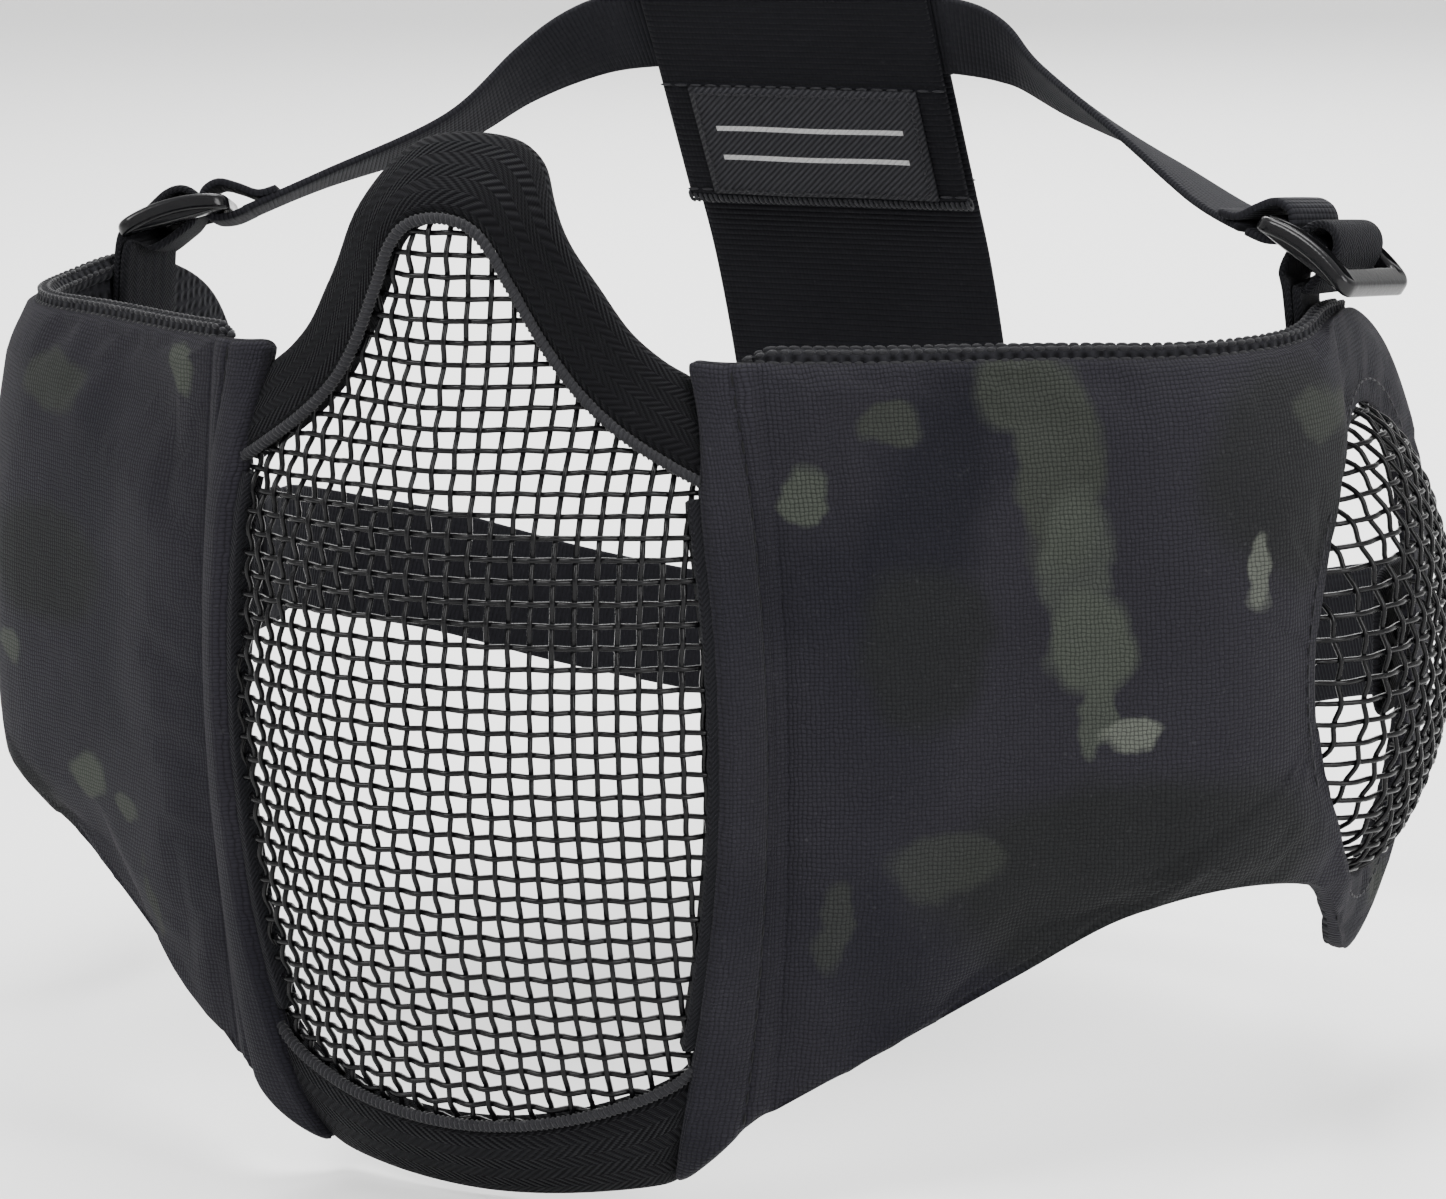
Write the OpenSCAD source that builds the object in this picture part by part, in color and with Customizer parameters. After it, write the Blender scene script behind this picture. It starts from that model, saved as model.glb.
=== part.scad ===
// Foldable lower-face guard: a formed wire mesh over the nose, mouth and chin, two padded cheek wings
// with domed ear meshes, and an elastic head harness on two strap slides.
// +Z is up, -Y is forwards, +X is the wearer's left. The origin lies midway between the two folds.

/* [Face guard] */
// Half width of the visible mesh at mouth level
guard_half_w = 38; // [34:0.5:42]
// Height of the nose bridge above the mouth
guard_up = 81; // [74:1:90]
// Depth of the chin below the mouth
guard_down = 73; // [66:1:80]
// Thickness of the woven wire mesh
mesh_t = 1.8; // [1.4:0.1:2.2]
// Radius of the guard's cheeks in plan
cheek_r = 48; // [42:1:60]
// Width of the nose ridge
nose_w = 13; // [10:0.5:16]
// Thickness of the binding tape
tape_t = 1; // [0.6:0.1:1.4]
// Diameter of the piping along the tape's inner edge
piping_d = 1.8; // [1.2:0.1:2.4]

/* [Wings] */
// Length of the flat cheek panel behind the fold
cheek_l = 54; // [44:1:64]
// Length of the bend from the cheek to the ear
bend_l = 42; // [36:1:50]
// Angle of the cheek panel away from straight back
cheek_angle = 54; // [46:1:60]
// Outward swell of the padded cup
swell = 7; // [3:0.5:9]
// Thickness of the foam pad
pad_t = 4.4; // [3:0.2:6]
// Thickness of the outer cloth
cover_t = 1; // [0.7:0.1:1.4]
// Thickness of the knitted lining
lining_t = 1.4; // [1:0.1:2]

/* [Ear meshes] */
// Half length of the ear opening
ear_a = 30; // [25:0.5:31]
// Half height of the ear opening
ear_b = 36; // [30:0.5:38]
// Height of the ear dome
dome_h = 11; // [6:0.5:14]

/* [Strap slides] */
// Width of the strap webbing
strap_w = 15; // [12:1:18]
// Thickness of the strap webbing
strap_t = 1.3; // [1:0.1:1.6]
// Thickness of a slide
slide_t = 2.6; // [2:0.1:3.2]
// Width of a slide's bars
bar_w = 3; // [2.6:0.1:3.6]

/* [Head harness] */
// Width of the crown band
band_w = 50; // [40:1:60]
// Thickness of the crown band
band_t = 1.4; // [1:0.1:1.8]
// Width of the nape strap
nape_w = 22; // [18:1:25]
// Length of the label
label_l = 40; // [30:1:46]

/* [Hidden] */
$fn = 32;

clear = 0.3;     // air between pieces on different bodies
layer = 0.15;    // air between sewn layers of one body
fold_gap = 1.4;  // slit between the hem and the wing cover at the fold
mesh_under = 1.2; // how far the mesh runs under the hem
edge_over = 0.8; // how far the edge tape passes the mesh's edge
bow_rate = 0.0026; // inward bow of the side seams for each square millimetre of height
bow_mid = -2;    // height at which the seams are widest apart

// ---- small helpers ----

function lerp(a, b, t) = a + (b - a) * t;
function smooth(t) = let (c = min(max(t, 0), 1)) c * c * (3 - 2 * c);
function unit(v) = v / norm(v);
function flip_x(pts) = [for (i = [len(pts) - 1:-1:1]) [-pts[i].x, pts[i].y]];

// Position of x in a rising list of [x, y] points, as a segment number
function segment(x, pts, i = 0) = (i >= len(pts) - 2 || x < pts[i + 1].x) ? i : segment(x, pts, i + 1);

// Slope of a smooth curve through [x, y] points at point i
function slope_at(pts, i) =
    let (a = max(i - 1, 0), b = min(i + 1, len(pts) - 1))
    (pts[b].y - pts[a].y) / (pts[b].x - pts[a].x);

// Smooth curve through [x, y] points
function curve_y(x, pts) =
    let (
        i = segment(x, pts),
        w = pts[i + 1].x - pts[i].x,
        t = (x - pts[i].x) / w,
        m0 = slope_at(pts, i) * w,
        m1 = slope_at(pts, i + 1) * w
    )
    (2 * t * t * t - 3 * t * t + 1) * pts[i].y + (t * t * t - 2 * t * t + t) * m0
    + (3 * t * t - 2 * t * t * t) * pts[i + 1].y + (t * t * t - t * t) * m1;

// Smooth path through points of any dimension; u runs from 0 to the last index
function path_at(pts, u) =
    let (
        n = len(pts) - 1,
        i = min(max(floor(u), 0), n - 1),
        t = u - i,
        p0 = pts[max(i - 1, 0)],
        p1 = pts[i],
        p2 = pts[i + 1],
        p3 = pts[min(i + 2, n)]
    )
    0.5 * (2 * p1 + (p2 - p0) * t + (2 * p0 - 5 * p1 + 4 * p2 - p3) * t * t
        + (3 * p1 - p0 - 3 * p2 + p3) * t * t * t);
function smooth_path(pts, k) = [for (j = [0:(len(pts) - 1) * k]) path_at(pts, j / k)];

// Closed body between two grids of points, open or joined into a ring along each row
module slab(front, back, ring = false) {
    rows = len(front);
    cols = len(front[0]);
    last = ring ? cols - 1 : cols - 2;
    pts = [for (g = [front, back]) for (r = g) for (p = r) p];
    function id(side, i, j) = side * rows * cols + i * cols + j % cols;
    faces = concat(
        [for (i = [0:rows - 2]) for (j = [0:last]) each [
            [id(0, i, j), id(0, i + 1, j), id(0, i + 1, j + 1)],
            [id(0, i, j), id(0, i + 1, j + 1), id(0, i, j + 1)],
            [id(1, i, j), id(1, i + 1, j + 1), id(1, i + 1, j)],
            [id(1, i, j), id(1, i, j + 1), id(1, i + 1, j + 1)]
        ]],
        [for (j = [0:last]) each [
            [id(0, 0, j), id(0, 0, j + 1), id(1, 0, j + 1)],
            [id(0, 0, j), id(1, 0, j + 1), id(1, 0, j)],
            [id(0, rows - 1, j), id(1, rows - 1, j + 1), id(0, rows - 1, j + 1)],
            [id(0, rows - 1, j), id(1, rows - 1, j), id(1, rows - 1, j + 1)]
        ]],
        ring ? [] : [for (i = [0:rows - 2]) each [
            [id(0, i, 0), id(1, i + 1, 0), id(0, i + 1, 0)],
            [id(0, i, 0), id(1, i, 0), id(1, i + 1, 0)],
            [id(0, i, cols - 1), id(0, i + 1, cols - 1), id(1, i + 1, cols - 1)],
            [id(0, i, cols - 1), id(1, i + 1, cols - 1), id(1, i, cols - 1)]
        ]]
    );
    polyhedron(pts, faces, convexity = 6);
}

// Ribbon along stations of [centre, width direction, thickness direction]
module ribbon(stations, w, t) {
    slab(
        [for (s = stations) [for (e = [-1, 1]) s[0] + s[1] * e * w / 2 + s[2] * t / 2]],
        [for (s = stations) [for (e = [-1, 1]) s[0] + s[1] * e * w / 2 - s[2] * t / 2]]
    );
}

// ---- face guard surface ----

centre_line = [
    [-guard_down - 2, 2.5], [-0.83 * guard_down, -8], [-0.62 * guard_down, -13], [-0.4 * guard_down, -16],
    [0, -18], [0.37 * guard_up, -15.5], [0.62 * guard_up, -11], [0.74 * guard_up, -10],
    [0.87 * guard_up, -8.5], [guard_up, 3]
];
nose_rise = 5;
nose_from = 0.3 * guard_up;
nose_grow = 0.3 * guard_up;

function guard_y(x, z) =
    curve_y(z, centre_line) + x * x / (2 * cheek_r)
    + nose_rise * smooth((z - nose_from) / nose_grow) * (1 - exp(-pow(x / nose_w, 2)));
function guard_n(x, z) =
    unit([guard_y(x + 0.5, z) - guard_y(x - 0.5, z), -1, guard_y(x, z + 0.5) - guard_y(x, z - 0.5)]);
function guard_p(x, z, off = 0) = [x, guard_y(x, z), z] + off * guard_n(x, z);

// The seams bow inwards towards the top and the chin
function seam_bow(z) = bow_rate * pow(z - bow_mid, 2);
function seam_x(z) = guard_half_w - seam_bow(z);

// Half outlines of the two tapes as [x, z], from the middle outwards
nose_outer = [
    [0, guard_up], [6.5, guard_up - 0.9], [11, guard_up - 3.8], [14.2, guard_up - 8.8], [17.5, guard_up - 15.3],
    [21, guard_up - 21.3], [24.5, guard_up - 26.8], [28.5, guard_up - 30.8], [32, guard_up - 33.3],
    [seam_x(46) + mesh_under, guard_up - 34.8]
];
nose_inner = [
    [0, guard_up - 10], [4.5, guard_up - 11], [7.5, guard_up - 14], [9.8, guard_up - 18.8],
    [12.3, guard_up - 23.8], [15.3, guard_up - 29.3], [19.2, guard_up - 34.8], [24.5, guard_up - 39.8],
    [31, guard_up - 44.3], [seam_x(34) + mesh_under, guard_up - 47.3]
];
chin_outer = [
    [0, -guard_down], [8.5, 0.3 - guard_down], [17, 1 - guard_down], [24.5, 2 - guard_down],
    [seam_x(-69) + mesh_under, 3.6 - guard_down]
];
chin_inner = [
    [0, 12.5 - guard_down], [10, 13.2 - guard_down], [20, 15.4 - guard_down], [29, 19 - guard_down],
    [seam_x(-50) + mesh_under, 23 - guard_down]
];
nose_end = nose_inner[len(nose_inner) - 1].y;
chin_end = chin_inner[len(chin_inner) - 1].y;

function mirrored(pts) = concat(flip_x(pts), pts);

// The mesh stops inside the folded tapes, at this share of their width
mesh_share = 0.76;
nose_edge = [for (k = [0:2 * len(nose_outer) - 2])
    lerp(mirrored(nose_inner)[k], mirrored(nose_outer)[k], mesh_share)];
chin_edge = [for (k = [0:2 * len(chin_outer) - 2])
    lerp(mirrored(chin_inner)[k], mirrored(chin_outer)[k], mesh_share)];

// Column u runs from -1 to 1 between the side seams; its end on an edge line is found in a few steps
mesh_cols = 32;
mesh_rows = 40;
edge_steps = 7;
function mesh_x(u, z) = u * (seam_x(z) + mesh_under);
function edge_z(u, edge, z, n = edge_steps) =
    n == 0 ? z : edge_z(u, edge, curve_y(mesh_x(u, z), edge), n - 1);
column_ends = [for (j = [0:mesh_cols])
    let (u = 2 * j / mesh_cols - 1)
    [edge_z(u, chin_edge, chin_end), edge_z(u, nose_edge, nose_end)]];
function mesh_point(i, j) =
    let (z = lerp(column_ends[j][0], column_ends[j][1], i / mesh_rows))
    [mesh_x(2 * j / mesh_cols - 1, z), z];

module face_mesh() {
    color("dimgray")
    slab(
        [for (i = [0:mesh_rows]) [for (j = [0:mesh_cols])
            let (q = mesh_point(i, j)) guard_p(q.x, q.y, mesh_t / 2)]],
        [for (i = [0:mesh_rows]) [for (j = [0:mesh_cols])
            let (q = mesh_point(i, j)) guard_p(q.x, q.y, -mesh_t / 2)]]
    );
}

tape_swell = 0.2;
tape_air = 0.25;

// Tape folded over the guard's edge, between an inner and an outer [x, z] line
module folded_tape(inner, outer, t) {
    half = mesh_t / 2 + tape_air;
    front = [[0, half + t], [0.3, half + t + tape_swell / 2], [0.6, half + t + tape_swell], [0.95, half + t]];
    pocket_front = [[0, half], [0.3, half], [0.6, half], [0.88, half]];
    skin = concat(front, [[1.03, 0]], [for (i = [3:-1:0]) [front[i].x, -front[i].y]]);
    pocket = concat(pocket_front, [[0.9, 0]], [for (i = [3:-1:0]) [pocket_front[i].x, -pocket_front[i].y]]);
    function at(k, s) = let (q = lerp(inner[k], outer[k], s[0])) guard_p(q.x, q.y, s[1]);
    slab(
        [for (k = [0:len(inner) - 1]) [for (s = skin) at(k, s)]],
        [for (k = [0:len(inner) - 1]) [for (s = pocket) at(k, s)]]
    );
}

// Round cord along the tape's inner edge, in front of the mesh
module piping(line) {
    r = piping_d / 2;
    lift = mesh_t / 2 + layer + r;
    sides = 8;
    ids = [for (k = [0:len(line) - 1]) k];
    function along(k) = unit(guard_p(line[min(k + 1, len(line) - 1)].x, line[min(k + 1, len(line) - 1)].y)
        - guard_p(line[max(k - 1, 0)].x, line[max(k - 1, 0)].y));
    function ring_at(k) =
        let (
            n = guard_n(line[k].x, line[k].y),
            side = unit(cross(along(k), n)),
            c = guard_p(line[k].x, line[k].y, lift)
        )
        [for (a = [0:sides - 1]) c + r * (cos(a * 360 / sides) * n + sin(a * 360 / sides) * side)];
    rings = [for (k = ids) ring_at(k)];
    last = len(line) - 1;
    polyhedron(
        [for (g = rings) for (p = g) p],
        concat(
            [for (k = [0:last - 1]) for (a = [0:sides - 1]) each [
                [k * sides + a, (k + 1) * sides + a, (k + 1) * sides + (a + 1) % sides],
                [k * sides + a, (k + 1) * sides + (a + 1) % sides, k * sides + (a + 1) % sides]
            ]],
            [[for (a = [0:sides - 1]) a], [for (a = [sides - 1:-1:0]) last * sides + a]]
        ),
        convexity = 4
    );
}

// The cord runs just outside the tape's inner edge and stops short of the hem
hem_margin = 1.3;
cord_gap = 0.35;
function piping_line(inner, outer) =
    let (
        n = len(inner) - 1,
        side = [for (j = [0:n]) inner[j] + unit(inner[j] - outer[j]) * (piping_d / 2 + cord_gap)],
        stop_x = seam_x(side[n].y) - hem_margin,
        stop = lerp(side[n - 1], side[n], (stop_x - side[n - 1].x) / (side[n].x - side[n - 1].x))
    )
    smooth_path(mirrored(concat([for (j = [0:n - 1]) side[j]], [stop])), 2);

nose_in = smooth_path(mirrored(nose_inner), 2);
nose_out = smooth_path(mirrored(nose_outer), 2);
chin_in = smooth_path(mirrored(chin_inner), 2);
chin_out = smooth_path(mirrored(chin_outer), 2);

module nose_binding() {
    color("#1c1c1e") folded_tape(nose_in, nose_out, tape_t);
}
module nose_piping() {
    color("#232325") piping(piping_line(nose_inner, nose_outer));
}
module chin_binding() {
    color("#1c1c1e") folded_tape(chin_in, chin_out, tape_t);
}
module chin_piping() {
    color("#232325") piping(piping_line(chin_inner, chin_outer));
}

// Narrow tape round the mesh's side edge, hidden mostly by the hem
edge_t = 0.6;
edge_tape_w = 5;
edge_rows = 26;
module edge_tape(side) {
    z0 = chin_end + clear + piping_d;
    z1 = nose_end - clear - piping_d;
    outer = [for (k = [0:edge_rows]) let (z = lerp(z0, z1, k / edge_rows))
        [seam_x(z) + mesh_under + edge_over, z]];
    inner = [for (q = outer) [q.x - edge_tape_w, q.y]];
    half = mesh_t / 2 + layer;
    slot = 1 - edge_over / edge_tape_w / 2;
    skin = [[0, half + edge_t], [0.9, half + edge_t], [1, 0], [0.9, -half - edge_t], [0, -half - edge_t]];
    pocket = [[0, half], [slot - 0.02, half], [slot, 0], [slot - 0.02, -half], [0, -half]];
    function at(k, s) = let (q = lerp(inner[k], outer[k], s[0])) guard_p(q.x, q.y, s[1]);
    mirror([side < 0 ? 1 : 0, 0, 0])
    slab(
        [for (k = [0:edge_rows]) [for (s = skin) at(k, s)]],
        [for (k = [0:edge_rows]) [for (s = pocket) at(k, s)]]
    );
}
module edge_tape_left() {
    color("#202022") edge_tape(1);
}
module edge_tape_right() {
    color("#202022") edge_tape(-1);
}

// ---- wing surface: s is the distance behind the fold, z the height ----

fold_x = guard_half_w + 3.5;
fold_back = 5.96;
fold_y = guard_y(guard_half_w, 0) + fold_back;
cup_angle = -4;
wing_top = 50.5;
wing_low = 58.5;
ear_s = cheek_l + bend_l + 16;
lobe_s = ear_s + 5;
ear_z = -2;

function dir(h) = [sin(h), cos(h)];
turn = (cup_angle - cheek_angle) * PI / 180;
bend_from = [fold_x, fold_y] + cheek_l * dir(cheek_angle);
function bend_at(a) =
    let (h = lerp(cheek_angle, cup_angle, a / bend_l))
    bend_from + bend_l / turn * [cos(cheek_angle) - cos(h), sin(h) - sin(cheek_angle)];
function plan(s) =
    s < cheek_l ? [fold_x, fold_y] + s * dir(cheek_angle)
    : s < cheek_l + bend_l ? bend_at(s - cheek_l)
    : bend_at(bend_l) + (s - cheek_l - bend_l) * dir(cup_angle);
function heading(s) = lerp(cheek_angle, cup_angle, min(max((s - cheek_l) / bend_l, 0), 1));

swell_from = 25;
swell_over = 60;
fold_bow = 3.4;
belly_mid = -5;
belly_half = 56;
bow_level = 0.35;
function belly(z) = max(1 - pow((z - belly_mid) / belly_half, 2), 0);
function wing_base(s, z) =
    let (
        t = smooth((s - swell_from) / swell_over),
        h = heading(s),
        q = plan(s) + swell * t * belly(z) * [cos(h), -sin(h)]
    )
    [q.x + fold_bow * (1 - t) * (belly(z) - bow_level), q.y, z];
function wing_n(s, z) =
    unit(cross(wing_base(s + 0.5, z) - wing_base(s - 0.5, z), wing_base(s, z + 0.5) - wing_base(s, z - 0.5)));
function wing_p(s, z, off = 0) = wing_base(s, z) + off * wing_n(s, z);

// Outline of a wing as [s, z], from the fold's top round the ear to the fold's bottom
cup_end = ear_s + ear_a + 11;
wing_curve = [
    [fold_gap / 2, wing_top], [20, wing_top - 1], [45, wing_top - 1.8], [68, wing_top - 2.8],
    [88, wing_top - 3.2], [lobe_s - 13, wing_top - 2.2], [lobe_s + 3, wing_top - 3.5],
    [lobe_s + 19, ear_b + ear_z + 5], [cup_end - 6, 24], [cup_end, 4], [cup_end - 1, -16],
    [cup_end - 9, -35], [lobe_s + 14, -46.5], [lobe_s + 1, -50.5], [lobe_s - 11, -49],
    [lobe_s - 22, -41], [lobe_s - 33, -33], [68, -30], [52, -33], [36, -41], [18, -50],
    [fold_gap / 2, -wing_low]
];
wing_edge = concat(
    smooth_path(wing_curve, 2),
    [for (z = [-40, -20, 0, 18, 35]) [fold_gap / 2, z]]
);

// Point of the ear opening's rim that faces an outline point, with the rim grown by g
fan = 90;
function rim_facing(p, g = 0) =
    let (
        ds = p.x - ear_s,
        dz = p.y - ear_z,
        a = ds < 0 ? atan2(dz / fan, ds / ear_a) : atan2(dz / ear_b, ds / ear_a)
    )
    [ear_s + (ear_a + g) * cos(a), ear_z + (ear_b + g) * sin(a)];

// Rows of one radial line, as distances from the rim
flange = 3.6;
edge_margin = 2.5;
shares = [0, 0.12, 0.28, 0.46, 0.66, 0.85, 1];
pad_from = flange + 1;
lines = [for (p = wing_edge) [rim_facing(p), rim_facing(p, pad_from), p]];
function line_l(k) = norm(lines[k][2] - lines[k][1]);
last_row = len(shares) + 1;
function line_p(k, i) =
    i == 0 ? lines[k][0]
    : i == last_row ? lines[k][2]
    : lerp(lines[k][1], lines[k][2], shares[i - 1] * (1 - edge_margin / line_l(k)));

// Half thickness of the pad at row i of line k; the edges are thin
edge_half = 1;
pad_rise = 9;
function pad_half(k, i) =
    let (l = line_l(k) - edge_margin, f = i == 0 ? 0 : shares[i - 1])
    i == last_row ? 0 : edge_half + (pad_t / 2 - edge_half) * smooth(min(f, 1 - f) * l / pad_rise);
function wing_grid(side, extra, from, to) =
    [for (i = [from:to]) [for (k = [0:len(lines) - 1])
        let (q = line_p(k, i))
        wing_p(q.x, q.y, side * (pad_half(k, i) + extra))]];

module wing_cover() {
    color("#2b2b30")
    slab(wing_grid(1, layer + cover_t, 0, last_row), wing_grid(1, layer, 0, last_row), ring = true);
}
module wing_lining() {
    color("#26262a")
    slab(wing_grid(-1, layer, 0, last_row), wing_grid(-1, layer + lining_t, 0, last_row), ring = true);
}
module wing_pad() {
    color("#3a3a3e")
    slab(wing_grid(1, 0, 1, last_row - 1), wing_grid(-1, 0, 1, last_row - 1), ring = true);
}
module both(side) {
    mirror([side < 0 ? 1 : 0, 0, 0]) children();
}
module wing_cover_left() {
    both(1) wing_cover();
}
module wing_cover_right() {
    both(-1) wing_cover();
}
module wing_pad_left() {
    both(1) wing_pad();
}
module wing_pad_right() {
    both(-1) wing_pad();
}
module wing_lining_left() {
    both(1) wing_lining();
}
module wing_lining_right() {
    both(-1) wing_lining();
}

// Cloth hem from the mesh's edge back to the fold
hem_t = 1.2;
hem_puff = 1.3;
hem_lift = mesh_t / 2 + layer + tape_t + 0.2 + clear;
hem_rows = 20;
hem_cols = 4;
function hem_point(v, w, off) =
    let (
        top = wing_top,
        low = lerp(3 - guard_down, -wing_low - 1, w),
        z = lerp(low, top, v),
        a = guard_p(seam_x(z), z, hem_lift),
        b = wing_p(-fold_gap / 2, z, layer),
        d = unit([b.y - a.y, a.x - b.x, 0])
    )
    lerp(a, b, w) + d * (off + hem_puff * sin(180 * w));
module hem(side) {
    both(side)
    slab(
        [for (i = [0:hem_rows]) [for (j = [0:hem_cols]) hem_point(i / hem_rows, j / hem_cols, hem_t)]],
        [for (i = [0:hem_rows]) [for (j = [0:hem_cols]) hem_point(i / hem_rows, j / hem_cols, 0)]]
    );
}
module hem_left() {
    color("#2b2b30") hem(1);
}
module hem_right() {
    color("#2b2b30") hem(-1);
}

// Woven wire dome over the ear, with a flange held between the cover and the lining
dome_sides = 36;
dome_inset = 1.2;
dome_power = 0.6;
wire_half = 0.8;
dome_rings = [0.25, 0.48, 0.67, 0.82, 0.92, 0.98, 1];
function dome_row(f, off) =
    [for (k = [0:dome_sides - 1])
        let (
            a = k * 360 / dome_sides,
            ds = (ear_a - dome_inset) * cos(a) * f,
            dz = (ear_b - dome_inset) * sin(a) * f
        )
        wing_p(ear_s + ds, ear_z + dz, dome_h * pow(max(1 - f * f, 0), dome_power) + off)];
function flange_row(off) =
    [for (k = [0:dome_sides - 1])
        let (a = k * 360 / dome_sides)
        wing_p(ear_s + (ear_a + flange) * cos(a), ear_z + (ear_b + flange) * sin(a), off)];
function dome_side(off) = concat([for (f = dome_rings) each dome_row(f, off)], flange_row(off));
module ear_mesh(side) {
    rings = len(dome_rings) + 1;
    n = rings * dome_sides;
    function id(half, i, k) = half * n + i * dome_sides + k % dome_sides;
    both(side)
    polyhedron(
        concat(dome_side(wire_half), dome_side(-wire_half),
            [wing_p(ear_s, ear_z, dome_h + wire_half), wing_p(ear_s, ear_z, dome_h - wire_half)]),
        [for (k = [0:dome_sides - 1]) each concat(
            [
                [2 * n, id(0, 0, k + 1), id(0, 0, k)],
                [2 * n + 1, id(1, 0, k), id(1, 0, k + 1)],
                [id(0, rings - 1, k), id(0, rings - 1, k + 1), id(1, rings - 1, k + 1)],
                [id(0, rings - 1, k), id(1, rings - 1, k + 1), id(1, rings - 1, k)]
            ],
            [for (i = [0:rings - 2]) each [
                [id(0, i, k), id(0, i, k + 1), id(0, i + 1, k + 1)],
                [id(0, i, k), id(0, i + 1, k + 1), id(0, i + 1, k)],
                [id(1, i, k), id(1, i + 1, k + 1), id(1, i, k + 1)],
                [id(1, i, k), id(1, i + 1, k), id(1, i + 1, k + 1)]
            ]]
        )],
        convexity = 4
    );
}
module ear_mesh_left() {
    color("dimgray") ear_mesh(1);
}
module ear_mesh_right() {
    color("dimgray") ear_mesh(-1);
}

// ---- strap slides: centre, direction across the bars, direction along the bars ----

anchor_s = lobe_s - 9;
hang_left = [1.024, 1.02, 7];
hang_right = [-6.976, 4.82, 5.1];
function slide_at(side) = wing_p(anchor_s, wing_top) + (side > 0 ? hang_left : hang_right);
slide_l = 4 * bar_w + 6.5;
slot_l = (slide_l - 3 * bar_w) / 2;
slide_w = strap_w + 2 * clear + 2 * bar_w;

// The two slides hang at their own angles; x is outwards on both sides
function along_bars(side) = side > 0 ? unit([0.197, 0.974, -0.114]) : unit([0.38, 0.9, -0.2]);
function across_bars(side) =
    let (w = along_bars(side), a = side > 0 ? [0.82, -0.25, -0.51] : [0.88, -0.42, -0.24])
    unit(a - w * (a * w));
function slide_up(side) = cross(across_bars(side), along_bars(side));

module tri_glide(side) {
    at = slide_at(side);
    x = across_bars(side);
    y = along_bars(side);
    z = slide_up(side);
    r = 1.6;
    half_l = slide_l / 2;
    half_w = slide_w / 2;
    both(side)
    multmatrix([
        [x.x, y.x, z.x, at.x], [x.y, y.y, z.y, at.y], [x.z, y.z, z.z, at.z], [0, 0, 0, 1]
    ]) {
        translate([0, 0, -slide_t / 2])
        linear_extrude(slide_t)
        difference() {
            union() {
                square([slide_l - 2 * r, slide_w], center = true);
                square([slide_l, slide_w - 2 * r], center = true);
                for (a = [-1, 1], b = [-1, 1])
                    translate([a * (half_l - r), b * (half_w - r)])
                    circle(r);
            }
            for (a = [-1, 1])
                translate([a * (bar_w + slot_l) / 2, 0])
                square([slot_l, slide_w - 2 * bar_w], center = true);
        }
    }
}
module tri_glide_left() {
    color("#0d0d0f") tri_glide(1);
}
module tri_glide_right() {
    color("#0d0d0f") tri_glide(-1);
}

// Webbing from the cup's lining up and round the slide's middle bar
loop_r = sqrt(pow(bar_w / 2, 2) + pow(slide_t / 2, 2)) + clear + strap_t / 2;
lip_depth = 5.4;
foot_under = 13;
neck_under = 2;
leg_from = 5.5;
leg_air = 0.1;
leg_narrow = 0.8;
module anchor_loop(side) {
    at = slide_at(side);
    w = along_bars(side);
    lip = lip_depth + strap_t;
    foot = wing_p(anchor_s, wing_top - foot_under, -lip);
    neck = wing_p(anchor_s, wing_top - neck_under, -lip + 1);
    drop = neck - at;
    down = unit(drop - w * (drop * w));
    m = unit(cross(w, down));
    wing_w = unit(wing_p(anchor_s + 1, wing_top - 10) - wing_p(anchor_s - 1, wing_top - 10));
    inward = -wing_n(anchor_s, wing_top - 10);
    half = strap_t / 2 + leg_air;
    sign = m * inward > 0 ? 1 : -1;
    leg = [for (e = [-1, 1]) [
        [foot + inward * e * half, wing_w, inward * e],
        [neck + inward * e * half, wing_w, inward * e],
        [at + down * leg_from + m * sign * e * loop_r * leg_narrow, unit(lerp(wing_w, w, leg_narrow)),
            m * sign * e]
    ]];
    arc = [for (a = [0:20:180])
        let (n = cos(a) * m * sign - sin(a) * down) [at + n * loop_r, w, n]];
    both(side)
    ribbon(concat(leg[1], arc, [for (i = [2:-1:0]) leg[0][i]]), strap_w, strap_t);
}
module anchor_loop_left() {
    color("#1a1a1c") anchor_loop(1);
}
module anchor_loop_right() {
    color("#1a1a1c") anchor_loop(-1);
}

// ---- head harness ----

// Middle of the crown strap inside the band's sleeve, and the nape strap's middle
crown_mid = [126, 84];
nape_mid = [172, -29];
crown_u = unit([0.5, -0.86]);
crown_n = [-crown_u.y, crown_u.x];
flat_half = band_w / 2 + 2;
function crown_route(side) = [
    [layer, crown_mid.x, crown_mid.y], [flat_half / 3, crown_mid.x, crown_mid.y],
    [flat_half * 2 / 3, crown_mid.x, crown_mid.y], [flat_half, crown_mid.x, crown_mid.y],
    [36, 125, 82], [46, 121, 76.5], slide_at(side) + [-38.5, 24, 12.5], slide_at(side) + [-21.5, 11.3, 5.3]
];
crown_last = 7;
twist_from = 3;

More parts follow.
